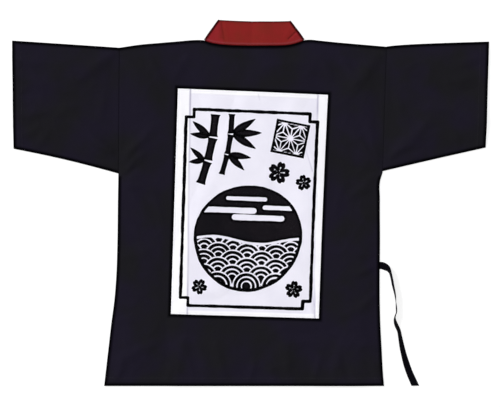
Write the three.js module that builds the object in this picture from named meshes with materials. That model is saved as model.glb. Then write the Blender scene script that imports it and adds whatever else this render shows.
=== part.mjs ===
// A wrap-over sushi chef coat with short wide sleeves, laid flat on its front with its back up.
// Millimetres. +X runs from the wearer's left sleeve to the right one, +Y from hem to neckband, +Z up.
// z = 0 is the table. The origin is the middle of the coat's outline, on the table.
// From the table up lie the left front, the right front that it laps over, the back, and the sewn-on patch.
import * as THREE from "three";

// ---- Cloth ----
const cloth = 1.2; // one layer of twill with its turnings
const bandCloth = 2; // neckband: two layers over a stiffening
const tape = 1; // ties
const seam = 0.3; // air between two pieces at a seam
const foldGap = 1; // air inside the neckband's turned corners
const tieWidth = 16;

// ---- Outline of the body, one row for each level from hem to shoulder ----
const bodySections = [
  { y: -402.8, left: -322, right: 293.4 },
  { y: -373, left: -318.6, right: 291 },
  { y: -319, left: -312.4, right: 288.1 },
  { y: -266, left: -306.3, right: 285.3 },
  { y: -214, left: -299.5, right: 284 },
  { y: -161, left: -295.3, right: 283.8 },
  { y: -90, left: -292.9, right: 284.5 },
  { y: 6, left: -291.7, right: 284.3 },
  { y: 50, left: -291, right: 285.2 },
  { y: 66, left: -290.8, right: 290.2 },
  { y: 342, left: -288.4, right: 299 },
];
const hem = bodySections[0].y;

// ---- Sleeves: both ends of each armhole and cuff, and how far each edge between them bows up ----
const leftSleeve = {
  armhole: { bottom: [-290.8, 64.4], top: [-288.4, 341] },
  cuff: { bottom: [-521.2, 118.8], top: [-524.4, 356.8] },
  lowerBow: 2.8,
  upperBow: 0.2,
};
const rightSleeve = {
  armhole: { bottom: [290.2, 70.6], top: [299, 343.2] },
  cuff: { bottom: [517, 121.4], top: [524.4, 354.6] },
  lowerBow: 0.4,
  upperBow: 1.8,
};

// The top edge, from the left armhole over the shoulder, round the back neck and down the right shoulder.
const leftNeck = { x: -102, y: 357.2 };
const rightNeck = { x: 118, y: 356.8 };
const topEdge = [
  { x: -288.4, y: 341 },
  { x: -243, y: 347.7 },
  { x: -199, y: 351.6 },
  { x: -155, y: 355.3 },
  { x: -134, y: 357.2 },
  { x: -117, y: 358 },
  leftNeck,
  { x: -92, y: 351.8 },
  { x: -74, y: 348.8 },
  { x: -50, y: 346.4 },
  { x: -9, y: 345.2 },
  { x: 34, y: 345 },
  { x: 66, y: 345.6 },
  { x: 86, y: 347.2 },
  { x: 104, y: 351.4 },
  rightNeck,
  { x: 131, y: 357.8 },
  { x: 150, y: 356 },
  { x: 188, y: 352.4 },
  { x: 244, y: 347.8 },
  { x: 299, y: 343.2 },
];

// ---- Neckband: where its folded corners stand, how it slants down the fronts and where it ends ----
const leftCorner = { x: -71.2, y: 402.8 };
const rightCorner = { x: 88.2, y: 400.4 };
const bandTopSag = 1.8;
const bandSlant = 0.38; // mm across for each mm down
const bandEnd = -165;
const bandInset = 2.1; // its legs lie this far inside the corners' rounded folds

// ---- Patch, a rectangle of white cloth sewn on a little askew: its corners, going round ----
const patch = {
  bottomLeft: { x: -176.2, y: -245.8 },
  bottomRight: { x: 151.6, y: -255.6 },
  topLeft: { x: -160.8, y: 252.6 },
  topRight: { x: 171.4, y: 238.4 },
};

// ---- Number of cells ----
const sideColumns = 6;
const backRows = [6, 20, 5]; // below, beside and above the patch
const neckCells = 9;
const neckSideCells = 3;
const frontColumns = 8;
const lapColumns = 2;
const frontRows = [8, 14]; // below and above the neckband's end
const sleeveStations = 11;
const sleeveUnderCells = 5;
const sleeveOverCells = 10;
const legSections = 26;
const foldSections = 6;
const tieStep = 5.5; // along a tie
const tieCells = 4; // across it

// ---- How a layer rises over an edge beneath it: level for reach past the edge, then down within ramp ----
const lapRise = { reach: 28, ramp: 38 };
const backRise = { reach: 26, ramp: 60 };
const backOverLapRise = { reach: 72, ramp: 56 }; // wider than the lap's own, so that the back clears it
const shoulderFade = 30; // the back comes down to the front within this of a shoulder seam
const edgeFade = 46; // folds die away within this of a seam

// Soft ridges of the back, from one end to the other: width and height of each.
const backFolds = [
  { x0: -272, y0: 78, x1: -196, y1: 152, width: 56, height: 2.6 },
  { x0: 268, y0: 84, x1: 206, y1: 148, width: 52, height: 2.2 },
  { x0: -262, y0: 306, x1: -196, y1: 214, width: 60, height: 2 },
  { x0: 276, y0: 302, x1: 214, y1: 224, width: 58, height: 2.3 },
  { x0: -252, y0: -366, x1: -226, y1: -236, width: 62, height: 2.9 },
  { x0: 226, y0: -372, x1: 236, y1: -262, width: 56, height: 2.4 },
  { x0: -84, y0: -372, x1: -62, y1: -300, width: 64, height: 1.8 },
  { x0: 78, y0: -376, x1: 64, y1: -306, width: 58, height: 2.2 },
  { x0: 262, y0: -136, x1: 200, y1: -112, width: 50, height: 1.9 },
  { x0: -268, y0: -132, x1: -214, y1: -150, width: 52, height: 1.6 },
  { x0: -96, y0: 300, x1: -20, y1: 292, width: 52, height: 1.5 },
  { x0: 60, y0: 296, x1: 132, y1: 306, width: 54, height: 1.7 },
  { x0: -92, y0: 176, x1: -122, y1: 20, width: 70, height: 1.3 },
  { x0: 104, y0: 190, x1: 132, y1: 44, width: 66, height: 1.6 },
  { x0: 62, y0: -196, x1: 108, y1: -96, width: 70, height: 1.2 },
];
// Soft ridges of the sleeves' upper layer, and how far that layer lifts off the lower one.
const sleeveFolds = [
  { x0: -330, y0: 300, x1: -452, y1: 278, width: 58, height: 2 },
  { x0: -322, y0: 116, x1: -414, y1: 176, width: 54, height: 2.4 },
  { x0: -486, y0: 214, x1: -420, y1: 226, width: 50, height: 1.5 },
  { x0: 336, y0: 308, x1: 446, y1: 272, width: 56, height: 2.2 },
  { x0: 330, y0: 122, x1: 410, y1: 188, width: 56, height: 2.1 },
  { x0: 490, y0: 196, x1: 424, y1: 214, width: 52, height: 1.7 },
];
const sleeveLift = 0.9;

// The side tie from the side seam to its end: middle of the tape, and how far it is tipped off the flat.
const sideTieSections = [
  { x: 284.6, y: -138, tilt: 0 },
  { x: 288.4, y: -138, tilt: 0 },
  { x: 293, y: -139.4, tilt: 8 },
  { x: 298.6, y: -142.4, tilt: 24 },
  { x: 303.6, y: -147, tilt: 50 },
  { x: 306.8, y: -153.2, tilt: 69 },
  { x: 309.2, y: -161.5, tilt: 76 },
  { x: 311.4, y: -171, tilt: 78 },
  { x: 313.4, y: -182, tilt: 79 },
  { x: 315.8, y: -193, tilt: 82 },
  { x: 318.2, y: -205, tilt: 87 },
  { x: 319.4, y: -217, tilt: 91 },
  { x: 320.6, y: -230, tilt: 95 },
  { x: 320.8, y: -240, tilt: 97 },
  { x: 318.6, y: -249, tilt: 100 },
  { x: 318, y: -257, tilt: 106 },
  { x: 320.6, y: -267.5, tilt: 119 },
  { x: 325.6, y: -280.5, tilt: 124 },
  { x: 329.2, y: -294, tilt: 127 },
  { x: 333.2, y: -314, tilt: 134 },
  { x: 337.8, y: -333.8, tilt: 142 },
  { x: 343.2, y: -353.6, tilt: 152 },
  { x: 350, y: -373.4, tilt: 162 },
  { x: 358.4, y: -393, tilt: 169 },
  { x: 362.8, y: -402.4, tilt: 171 },
];
const levelEnd = 14; // over its last stretch the side tie turns, and is cut off level with the hem
// Its partner on the left front's edge, tucked flat between the fronts: the middle of the tape.
const frontTieSections = [
  { x: 140, y: -181 },
  { x: 108, y: -184 },
  { x: 72, y: -192 },
  { x: 34, y: -205 },
  { x: -6, y: -224 },
  { x: -44, y: -250 },
  { x: -80, y: -284 },
  { x: -92, y: -296 },
];

// ---- Small helpers ----
const lerp = THREE.MathUtils.lerp;
const smooth = THREE.MathUtils.smoothstep;

// The value of one column of a table at a place in another, straight between its rows.
function readTable(table, key, at, value) {
  const rising = table[table.length - 1][key] > table[0][key];
  const rows = rising ? table : [...table].reverse();
  const next = Math.min(Math.max(rows.findIndex((row) => row[key] > at), 1), rows.length - 1);
  const beyond = at >= rows[rows.length - 1][key];
  const high = rows[beyond ? rows.length - 1 : next];
  const low = rows[beyond ? rows.length - 2 : next - 1];
  const share = THREE.MathUtils.clamp((at - low[key]) / (high[key] - low[key]), 0, 1);
  return lerp(low[value], high[value], share);
}

const leftEdge = (y) => readTable(bodySections, "y", y, "left");
const rightEdge = (y) => readTable(bodySections, "y", y, "right");
const topOf = (x) => readTable(topEdge, "x", x, "y");

// A line through two points, read across or up.
const acrossLine = (a, b) => (x) => a.y + ((x - a.x) * (b.y - a.y)) / (b.x - a.x);
const upLine = (a, b) => (y) => a.x + ((y - a.y) * (b.x - a.x)) / (b.y - a.y);

function steps(count, from = 0, to = 1) {
  return Array.from({ length: count + 1 }, (_, i) => lerp(from, to, i / count));
}

// The place of a number along a list of knots: 0 at the first, 1 at the second, and so on.
function alongKnots(knots, at) {
  const zone = Math.min(Math.floor(at), knots.length - 2);
  return lerp(knots[zone], knots[zone + 1], at - zone);
}

// Distance from a point to a stretch from a to b, and how far along the stretch it lies.
function toStretch(x, y, a, b) {
  const dx = b.x - a.x;
  const dy = b.y - a.y;
  const along = THREE.MathUtils.clamp(((x - a.x) * dx + (y - a.y) * dy) / (dx * dx + dy * dy), 0, 1);
  return { distance: Math.hypot(x - a.x - along * dx, y - a.y - along * dy), along };
}

function isInside(outline, x, y) {
  let inside = false;
  outline.forEach((a, i) => {
    const b = outline[(i + 1) % outline.length];
    if (a.y > y !== b.y > y && x < a.x + ((y - a.y) * (b.x - a.x)) / (b.y - a.y)) inside = !inside;
  });
  return inside;
}

function distanceToEdge(outline, x, y) {
  const distances = outline.map((a, i) => toStretch(x, y, a, outline[(i + 1) % outline.length]).distance);
  return Math.min(...distances);
}

// 1 over an outline and for reach past it, then down to 0 within ramp.
function cover(outline, x, y, { reach, ramp }) {
  if (isInside(outline, x, y)) return 1;
  return 1 - smooth(distanceToEdge(outline, x, y), reach, reach + ramp);
}

// Height of the soft ridges at a point: rounded across, and fading to nothing at both ends.
function foldHeight(folds, x, y) {
  return folds.reduce((sum, fold) => {
    const { distance, along } = toStretch(x, y, { x: fold.x0, y: fold.y0 }, { x: fold.x1, y: fold.y1 });
    const across = Math.max(0, 1 - (distance / fold.width) ** 2);
    return sum + fold.height * across * across * (0.55 + 0.45 * Math.sin(Math.PI * along));
  }, 0);
}

// ---- Bodies ----
const clothColour = { black: 0x1f1c26, red: 0x8a2424, white: 0xf2f0f8, tape: 0x15131a };

function meshOf(name, positions, index, colour) {
  const geometry = new THREE.BufferGeometry();
  geometry.setAttribute("position", new THREE.Float32BufferAttribute(positions, 3));
  geometry.setIndex(index);
  geometry.computeVertexNormals();
  const material = new THREE.MeshStandardMaterial({ color: colour, roughness: 0.9, metalness: 0 });
  material.side = THREE.DoubleSide;
  const mesh = new THREE.Mesh(geometry, material);
  mesh.name = name;
  return mesh;
}

// A closed wall over a grid of plan points. under and over give its two faces, kept(row, column) its cells.
function wallOver(name, grid, under, over, colour, kept = () => true) {
  const rows = grid.length - 1;
  const columns = grid[0].length - 1;
  const positions = [];
  const index = [];
  const numbers = new Map();
  const there = (j, i) => j >= 0 && i >= 0 && j < rows && i < columns && kept(j, i);
  const corner = (j, i, face) => {
    const key = `${j},${i},${face}`;
    if (!numbers.has(key)) {
      numbers.set(key, positions.length / 3);
      const [x, y] = grid[j][i];
      positions.push(x, y, face === "over" ? over(x, y, j, i) : under(x, y, j, i));
    }
    return numbers.get(key);
  };
  const quad = (a, b, c, d) => index.push(a, b, c, a, c, d);
  const rim = (j0, i0, j1, i1) =>
    quad(corner(j0, i0, "under"), corner(j1, i1, "under"), corner(j1, i1, "over"), corner(j0, i0, "over"));
  for (let j = 0; j < rows; j++) {
    for (let i = 0; i < columns; i++) {
      if (!there(j, i)) continue;
      // Both faces are cut along the same diagonal, so a piece laid on another matches it.
      const ring = [[j, i], [j, i + 1], [j + 1, i + 1], [j + 1, i]];
      const turned = [ring[0], ring[3], ring[2], ring[1]];
      quad(...ring.map(([row, column]) => corner(row, column, "over")));
      quad(...turned.map(([row, column]) => corner(row, column, "under")));
      if (!there(j - 1, i)) rim(j, i, j, i + 1);
      if (!there(j, i + 1)) rim(j, i + 1, j + 1, i + 1);
      if (!there(j + 1, i)) rim(j + 1, i + 1, j + 1, i);
      if (!there(j, i - 1)) rim(j + 1, i, j, i);
    }
  }
  return meshOf(name, positions, index, colour);
}

// Joins rings of points, all of one length, and closes both ends flat.
function loft(name, rings, colour) {
  const count = rings[0].length;
  const index = [];
  for (let k = 0; k < rings.length - 1; k++) {
    for (let i = 0; i < count; i++) {
      const a = k * count + i;
      const b = k * count + ((i + 1) % count);
      index.push(a, b, b + count, a, b + count, a + count);
    }
  }
  const last = (rings.length - 1) * count;
  for (let i = 1; i < count - 1; i++) {
    index.push(0, i + 1, i, last, last + i, last + i + 1);
  }
  return meshOf(name, rings.flat(2), index, colour);
}

// A tube with open ends, through pairs of an outer and an inner ring.
function openTube(name, outer, inner, colour) {
  const count = outer[0].length;
  const innerStart = outer.length * count;
  const index = [];
  const quad = (a, b, c, d) => index.push(a, b, c, a, c, d);
  for (let k = 0; k < outer.length - 1; k++) {
    for (let i = 0; i < count; i++) {
      const a = k * count + i;
      const b = k * count + ((i + 1) % count);
      quad(a, b, b + count, a + count);
      quad(innerStart + a, innerStart + a + count, innerStart + b + count, innerStart + b);
    }
  }
  const last = (outer.length - 1) * count;
  for (let i = 0; i < count; i++) {
    const next = (i + 1) % count;
    quad(i, innerStart + i, innerStart + next, next);
    quad(last + i, last + next, innerStart + last + next, innerStart + last + i);
  }
  return meshOf(name, [outer, inner].flat(3), index, colour);
}

// ---- The layers beneath the back ----
// Each front is the side of the body out to the neckband's seam, and below the band out to its own edge.
const leftSeamLine = (y) => leftNeck.x + bandInset + bandSlant * (leftNeck.y - y);
const leftFreeLine = (y) => leftCorner.x + bandSlant * (leftCorner.y - y);
const rightSeamLine = (y) => rightNeck.x - bandInset - bandSlant * (rightNeck.y - y);
const rightFreeLine = (y) => rightCorner.x - bandSlant * (rightCorner.y - y);
const leftFrontEdge = leftFreeLine(bandEnd);
const rightFrontEdge = rightFreeLine(bandEnd);

const leftSide = bodySections.map((row) => ({ x: row.left, y: row.y }));
const rightSide = bodySections.map((row) => ({ x: row.right, y: row.y }));
const leftFrontOutline = [
  ...leftSide,
  leftNeck,
  { x: leftSeamLine(bandEnd), y: bandEnd },
  { x: leftFrontEdge, y: bandEnd },
  { x: leftFrontEdge, y: hem },
];
const rightFrontOutline = [
  ...rightSide,
  rightNeck,
  { x: rightSeamLine(bandEnd), y: bandEnd },
  { x: rightFrontEdge, y: bandEnd },
  { x: rightFrontEdge, y: hem },
];
const leftLegOutline = [
  leftNeck,
  leftCorner,
  { x: leftFreeLine(bandEnd), y: bandEnd },
  { x: leftSeamLine(bandEnd), y: bandEnd },
];
const rightLegOutline = [
  rightNeck,
  rightCorner,
  { x: rightFreeLine(bandEnd), y: bandEnd },
  { x: rightSeamLine(bandEnd), y: bandEnd },
];
const bodyOutline = [...leftSide, ...topEdge.slice(1, -1), ...rightSide.reverse()];

// The shoulder seams, as far as the neckband's corners let the back come down.
const shoulderSeams = [
  [topEdge[0], { x: -134, y: 356.8 }],
  [topEdge[topEdge.length - 1], { x: 150, y: 356.6 }],
];

const besideTie = (sign) =>
  frontTieSections.map((row) => ({ x: row.x + sign * tieWidth * 0.4, y: row.y - sign * tieWidth * 0.4 }));
const frontTieOutline = [...besideTie(1), ...besideTie(-1).reverse()];

// Undersides: how high each layer lies on what is below it.
function underLap(x, y, rise) {
  return Math.max(
    (cloth + seam) * cover(leftFrontOutline, x, y, rise),
    (bandCloth + seam) * cover(leftLegOutline, x, y, rise),
    (cloth + tape + 2 * seam) * cover(frontTieOutline, x, y, rise),
  );
}

const underRightFront = (x, y) => underLap(x, y, lapRise);

function underBack(x, y) {
  const lap = underLap(x, y, backOverLapRise);
  const lying = Math.max(
    cloth + seam,
    (bandCloth + foldGap) * cover(leftLegOutline, x, y, backRise),
    (lap + cloth + seam) * cover(rightFrontOutline, x, y, backRise),
    (lap + bandCloth + foldGap) * cover(rightLegOutline, x, y, backRise),
  );
  const toShoulder = Math.min(...shoulderSeams.map(([a, b]) => toStretch(x, y, a, b).distance));
  const inland = smooth(distanceToEdge(bodyOutline, x, y), 0, edgeFade);
  const above = (lying - cloth - seam) * smooth(toShoulder, 0, shoulderFade);
  return cloth + seam + above + inland * foldHeight(backFolds, x, y);
}

// ---- Pieces ----
// The back's grid runs along the patch's edges, so that the patch can be made from the back's own points.
const patchBottom = acrossLine(patch.bottomLeft, patch.bottomRight);
const patchTop = acrossLine(patch.topLeft, patch.topRight);
const patchLeft = upLine(patch.bottomLeft, patch.topLeft);
const patchRight = upLine(patch.bottomRight, patch.topRight);
const columnOf = (x) => 1 + (x - patchLeft(x < 0 ? leftNeck.y : rightNeck.y)) /
  (patchRight(rightNeck.y) - patchLeft(leftNeck.y));
const neckColumns = steps(neckCells, columnOf(leftNeck.x), columnOf(rightNeck.x));
const backColumns = [
  ...steps(sideColumns).slice(0, -1),
  ...steps(neckSideCells, 1, neckColumns[0]).slice(0, -1),
  ...neckColumns,
  ...steps(neckSideCells, neckColumns[neckCells], 2).slice(1),
  ...steps(sideColumns, 2, 3).slice(1),
];
const backLevels = backRows.flatMap((count, zone) => steps(count, zone, zone + 1).slice(zone ? 1 : 0));

function backPoint(column, level) {
  let x = 0;
  let y = 0;
  for (let pass = 0; pass < 6; pass++) {
    y = alongKnots([hem, patchBottom(x), patchTop(x), topOf(x)], level);
    x = alongKnots([leftEdge(y), patchLeft(y), patchRight(y), rightEdge(y)], column);
  }
  return [x, y];
}

const backGrid = backLevels.map((level) => backColumns.map((column) => backPoint(column, level)));

function makeBack() {
  return wallOver("back", backGrid, underBack, (x, y) => underBack(x, y) + cloth, clothColour.black);
}

function makePatch() {
  const firstRow = backRows[0];
  const firstColumn = sideColumns;
  const rows = backGrid.slice(firstRow, firstRow + backRows[1] + 1);
  const grid = rows.map((row) => row.slice(firstColumn, row.length - sideColumns));
  const under = (x, y) => underBack(x, y) + cloth + seam;
  return wallOver("back_patch", grid, under, (x, y) => under(x, y) + cloth, clothColour.white);
}

// One front. side is -1 for the left one and 1 for the right one. Its lap is left out beside the neckband.
function frontGrid(side) {
  const seamLine = side < 0 ? leftSeamLine : rightSeamLine;
  const lapEdge = side < 0 ? leftFrontEdge : rightFrontEdge;
  const sideEdge = side < 0 ? leftEdge : rightEdge;
  const neck = side < 0 ? leftNeck : rightNeck;
  const columns = [...steps(frontColumns), ...steps(lapColumns, 1, 2).slice(1)];
  if (side > 0) columns.reverse();
  const levels = frontRows.flatMap((count, zone) => steps(count, zone, zone + 1).slice(zone ? 1 : 0));
  return levels.map((level) =>
    columns.map((column) => {
      let x = neck.x;
      let y = 0;
      for (let pass = 0; pass < 6; pass++) {
        const top = topOf(side < 0 ? Math.min(x, neck.x) : Math.max(x, neck.x));
        y = alongKnots([hem, bandEnd, top], level);
        const seamX = seamLine(Math.max(y, bandEnd)) + side * seam;
        x = alongKnots([sideEdge(y), seamX, lapEdge], column);
      }
      return [x, y];
    }),
  );
}

function makeFront(name, side, under) {
  const grid = frontGrid(side);
  const lapFirst = side > 0;
  const isLap = (column) => (lapFirst ? column < lapColumns : column >= frontColumns);
  const kept = (row, column) => row < frontRows[0] || !isLap(column);
  return wallOver(name, grid, under, (x, y) => under(x, y) + cloth, clothColour.black, kept);
}

// A sleeve is one layer folded over at its top edge and sewn beneath the arm, pressed flat.
function makeSleeve(name, { armhole, cuff, lowerBow, upperBow }) {
  const towardCuff = Math.sign(cuff.top[0] - armhole.top[0]);
  const edgeHeight = 2 * cloth + seam;
  const stations = steps(sleeveStations);
  const ringAt = (share, inset) => {
    const bow = Math.sin(Math.PI * share);
    const edge = (a, b, up) => [lerp(a[0], b[0], share), lerp(a[1], b[1], share) + up * bow];
    const bottom = edge(armhole.bottom, cuff.bottom, lowerBow);
    const top = edge(armhole.top, cuff.top, upperBow);
    const start = share === 0 ? towardCuff * seam : 0;
    const radius = edgeHeight / 2;
    const long = Math.hypot(top[0] - bottom[0], top[1] - bottom[1]);
    const across = (distance) => bottom.map((value, i) => lerp(value, top[i], distance / long));
    const height = (distance) => {
      const [x, y] = across(distance);
      const inland = smooth(Math.min(distance, long - distance), 0, edgeFade) * smooth(share, 0, 0.22);
      return edgeHeight + inland * (sleeveLift + foldHeight(sleeveFolds, x, y));
    };
    const point = (distance, z) => {
      const [x, y] = across(distance);
      return [x + start, y, z];
    };
    const turns = [-60, -20, 20, 60].map(THREE.MathUtils.degToRad);
    const arc = (centre, sign) =>
      turns.map((turn) => point(centre + sign * (radius - inset) * Math.cos(turn),
        radius + sign * (radius - inset) * Math.sin(turn)));
    const under = steps(sleeveUnderCells, radius, long - radius);
    const over = steps(sleeveOverCells, long - radius, radius);
    return [
      ...under.map((distance) => point(distance, inset)),
      ...arc(long - radius, 1),
      ...over.map((distance) => point(distance, height(distance) - inset)),
      ...arc(radius, -1),
    ];
  };
  const outer = stations.map((share) => ringAt(share, 0));
  const inner = stations.map((share) => ringAt(share, cloth));
  const ordered = towardCuff > 0 ? [outer, inner] : [[...outer].reverse(), [...inner].reverse()];
  return openTube(name, ...ordered, clothColour.black);
}

// The neckband runs up the left front, turns over at the left corner, passes round the back neck,
// turns over again at the right corner and runs down the right front.
// Each section has a point on its sewn edge, one on its free edge, and the direction its outer face looks.
function bandSections() {
  const corners = [
    { neck: leftNeck, corner: leftCorner, side: -1 },
    { neck: rightNeck, corner: rightCorner, side: 1 },
  ];
  const turnRadius = (bandCloth + foldGap) / 2;
  const outerRadius = turnRadius + bandCloth / 2;
  const axisHeight = bandCloth / 2 + turnRadius;
  const folds = corners.map(({ neck, corner, side }) => {
    const long = Math.hypot(corner.x - neck.x, corner.y - neck.y);
    const out = [(side * (corner.y - neck.y)) / long, (-side * (corner.x - neck.x)) / long];
    const moved = (p) => [p.x - outerRadius * out[0], p.y - outerRadius * out[1]];
    return { out, sewn: moved({ x: neck.x, y: neck.y + 1.5 }), free: moved(corner), side };
  });
  const leg = (fold, under) => {
    const end = bandEnd + seam;
    const slant = -fold.side * bandSlant;
    const at = (from, share) => {
      const y = lerp(from[1], end, share);
      const x = from[0] + slant * (from[1] - y);
      return [x, y, under(x, y) + bandCloth / 2];
    };
    return steps(legSections).map((share) => ({
      sewn: at(fold.sewn, share),
      free: at(fold.free, share),
      facing: [0, 0, -1],
    }));
  };
  const turn = (fold) =>
    steps(foldSections, -90, 90).slice(1).map((degrees) => {
      const angle = THREE.MathUtils.degToRad(degrees);
      const facing = [fold.out[0] * Math.cos(angle), fold.out[1] * Math.cos(angle), Math.sin(angle)];
      const at = (p) => [
        p[0] + turnRadius * facing[0],
        p[1] + turnRadius * facing[1],
        axisHeight + turnRadius * facing[2],
      ];
      return { sewn: at(fold.sewn), free: at(fold.free), facing };
    });
  const backNeck = backGrid[backGrid.length - 1].slice(
    sideColumns + neckSideCells + 1,
    sideColumns + neckSideCells + neckCells,
  );
  const acrossBack = backNeck.map(([x, y], i) => {
    const share = (i + 1) / neckCells;
    const freeX = lerp(folds[0].free[0], folds[1].free[0], share);
    const freeY = lerp(folds[0].free[1], folds[1].free[1], share) - bandTopSag * Math.sin(Math.PI * share);
    const z = underBack(x, y) + bandCloth / 2;
    return { sewn: [x, y + seam, z], free: [freeX, freeY, z], facing: [0, 0, 1] };
  });
  return [
    ...leg(folds[0], () => 0).reverse(),
    ...turn(folds[0]),
    ...acrossBack,
    ...turn(folds[1]).reverse(),
    ...leg(folds[1], underRightFront),
  ];
}

function makeCollar() {
  const rounding = 0.6;
  const half = bandCloth / 2;
  const rings = bandSections().map(({ sewn, free, facing }) => {
    const long = Math.hypot(...free.map((value, i) => value - sewn[i]));
    const at = (across, out) =>
      sewn.map((value, i) => lerp(value, free[i], across / long) + out * facing[i]);
    return [
      at(0, -half),
      at(long - rounding, -half),
      at(long, rounding - half),
      at(long, half - rounding),
      at(long - rounding, half),
      at(0, half),
    ];
  });
  return loft("collar", rings, clothColour.red);
}

// A tie is a strip of tape on a smooth line through its sections, lying on whatever is below it.
// Over its last stretch, levelled long, it turns until its end lies along X.
function makeTie(name, sections, floor, levelled = 0) {
  const line = new THREE.CatmullRomCurve3(sections.map((row) => new THREE.Vector3(row.x, row.y, 0)));
  const turn = new THREE.CatmullRomCurve3(sections.map((row) => new THREE.Vector3(row.tilt ?? 0, 0, 0)));
  const length = line.getLength();
  const cells = Math.ceil(length / tieStep);
  const rings = steps(cells).map((share) => {
    const place = line.getPoint(share);
    const ahead = line.getTangent(share);
    const side = [-ahead.y, ahead.x];
    const tilt = THREE.MathUtils.degToRad(turn.getPoint(share).x);
    const across = [side[0] * Math.cos(tilt), side[1] * Math.cos(tilt), Math.sin(tilt)];
    const up = [-side[0] * Math.sin(tilt), -side[1] * Math.sin(tilt), Math.cos(tilt)];
    const middle = (tieWidth * Math.abs(Math.sin(tilt)) + tape * Math.abs(Math.cos(tilt))) / 2;
    const centre = [place.x, place.y, floor(share) + middle];
    const turned = levelled ? 1 - smooth((1 - share) * length, 0, levelled) : 0;
    const slip = (-turned * Math.cos(tilt) * ahead.x) / ahead.y;
    const along = [ahead.x, ahead.y, 0];
    const at = (a, b) => centre.map((value, k) => value + a * (across[k] + slip * along[k]) + b * up[k]);
    const widths = steps(tieCells, -tieWidth / 2, tieWidth / 2);
    return [...widths.map((a) => at(a, -tape / 2)), ...widths.reverse().map((a) => at(a, tape / 2))];
  });
  return loft(name, rings, clothColour.tape);
}

// The side tie leaves the seam between front and back, and comes down to the table.
const sideTieFloor = (share) => 0.9 * (1 - smooth(share, 0, 0.12));

// ---- The coat ----
const coat = new THREE.Group();
coat.add(
  makeFront("left_front", -1, () => 0),
  makeFront("right_front", 1, underRightFront),
  makeBack(),
  makePatch(),
  makeSleeve("left_sleeve", leftSleeve),
  makeSleeve("right_sleeve", rightSleeve),
  makeCollar(),
  makeTie("side_tie", sideTieSections, sideTieFloor, levelEnd),
  makeTie("front_tie", frontTieSections, () => cloth + seam),
);

export default coat;
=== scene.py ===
"""The looks of a wrap-over chef coat that is laid flat on its front, with its back up.

Lengths and places are in millimetres here, in the part's own frame, and become metres in add_mesh().
Every piece of cloth is a thin closed shell that lies where its solid lies.
"""
import math

import bpy
import numpy as np
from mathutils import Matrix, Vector


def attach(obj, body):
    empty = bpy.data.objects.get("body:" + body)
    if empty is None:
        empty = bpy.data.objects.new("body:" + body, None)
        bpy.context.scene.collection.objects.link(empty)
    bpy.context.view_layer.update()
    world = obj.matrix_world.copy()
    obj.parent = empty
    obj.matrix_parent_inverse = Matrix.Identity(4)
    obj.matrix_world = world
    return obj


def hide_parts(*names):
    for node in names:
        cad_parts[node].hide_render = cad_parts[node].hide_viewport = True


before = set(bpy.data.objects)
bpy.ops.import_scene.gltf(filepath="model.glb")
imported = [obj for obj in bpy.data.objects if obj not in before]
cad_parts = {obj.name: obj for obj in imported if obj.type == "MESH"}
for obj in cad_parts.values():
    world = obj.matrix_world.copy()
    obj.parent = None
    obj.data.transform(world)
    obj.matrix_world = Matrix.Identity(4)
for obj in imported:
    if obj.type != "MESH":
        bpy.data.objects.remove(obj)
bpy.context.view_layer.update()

# ---------------------------------------------------------------- sizes
# They are the solids' sizes. The patch's edges, the neck line, the right shoulder, the right sleeve's long
# edges, the neckband's folds and the tie lie up to 3 mm away from the solids' ones.
CLOTH = 1.2
BAND = 2.0
TAPE = 1.0
SEAM = 0.3
FOLD_GAP = 1.0
TIE_WIDTH = 16.0
HEM_TURNING = 20.0
CUFF_TURNING = 22.0
SEWN_INSIDE = 2.2  # how far the stitches run inside a turning's raw edge

# Body, from hem to shoulder: level, left edge, right edge.
BODY = np.array([
    (-402.8, -322, 293.4), (-373, -318.6, 291), (-319, -312.4, 288.1), (-266, -306.3, 285.3),
    (-214, -299.5, 284), (-161, -295.3, 283.8), (-90, -292.9, 284.5), (6, -291.7, 284.3),
    (50, -291, 285.2), (66, -290.8, 290.2), (342, -288.4, 299),
])
HEM = BODY[0, 0]
# Top edge: left shoulder, back neck, right shoulder.
LEFT_SHOULDER = np.array([
    (-288.4, 341), (-243, 347.7), (-199, 351.6), (-155, 355.3), (-134, 357.2), (-117, 358), (-102, 357.2),
])
BACK_NECK = np.array([
    (-102, 357.2), (-92, 353.2), (-74, 349.3), (-50, 346.8), (-9, 345.4), (34, 345.2),
    (66, 345.8), (86, 347.5), (104, 352), (118.3, 357.6),
])
RIGHT_SHOULDER = np.array([
    (118.3, 357.6), (131, 358.6), (150, 356.8), (188, 352.9), (244, 348), (299, 343.2),
])
LEFT_NECK, RIGHT_NECK = (-102.0, 357.2), (118.3, 357.6)
LEFT_CORNER, RIGHT_CORNER = (-70.2, 402.8), (87.2, 400.4)
BAND_SLANT = 0.38
BAND_END = -165.0
BAND_INSET = 2.1
BAND_SAG = 1.8
FOLD_OUT = 0.7  # how far the neckband's folds stand out past the lines from neck to corner

# Patch: bottom left, bottom right, top left, top right, and how far its right edge bows in.
PATCH = np.array([(-175.1, -244.2), (149.9, -253.9), (-159.6, 251.3), (170.2, 237.2)])
PATCH_BOW = 1.3
PATCH_SIZE = (328.0, 494.0)
PATCH_SEWN = 3.6  # from its edge to its stitches

# Sleeves: armhole bottom and top, cuff bottom and top, and how far the lower and upper edges bow up.
LEFT_SLEEVE = (np.array([(-290.8, 64.4), (-288.4, 341), (-521.2, 118.8), (-524.4, 356.8)]), 2.8, 0.2)
RIGHT_SLEEVE = (np.array([(290.2, 69.4), (299, 343.2), (517, 121.4), (524.4, 354.6)]), 0.4, 2.5)

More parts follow.
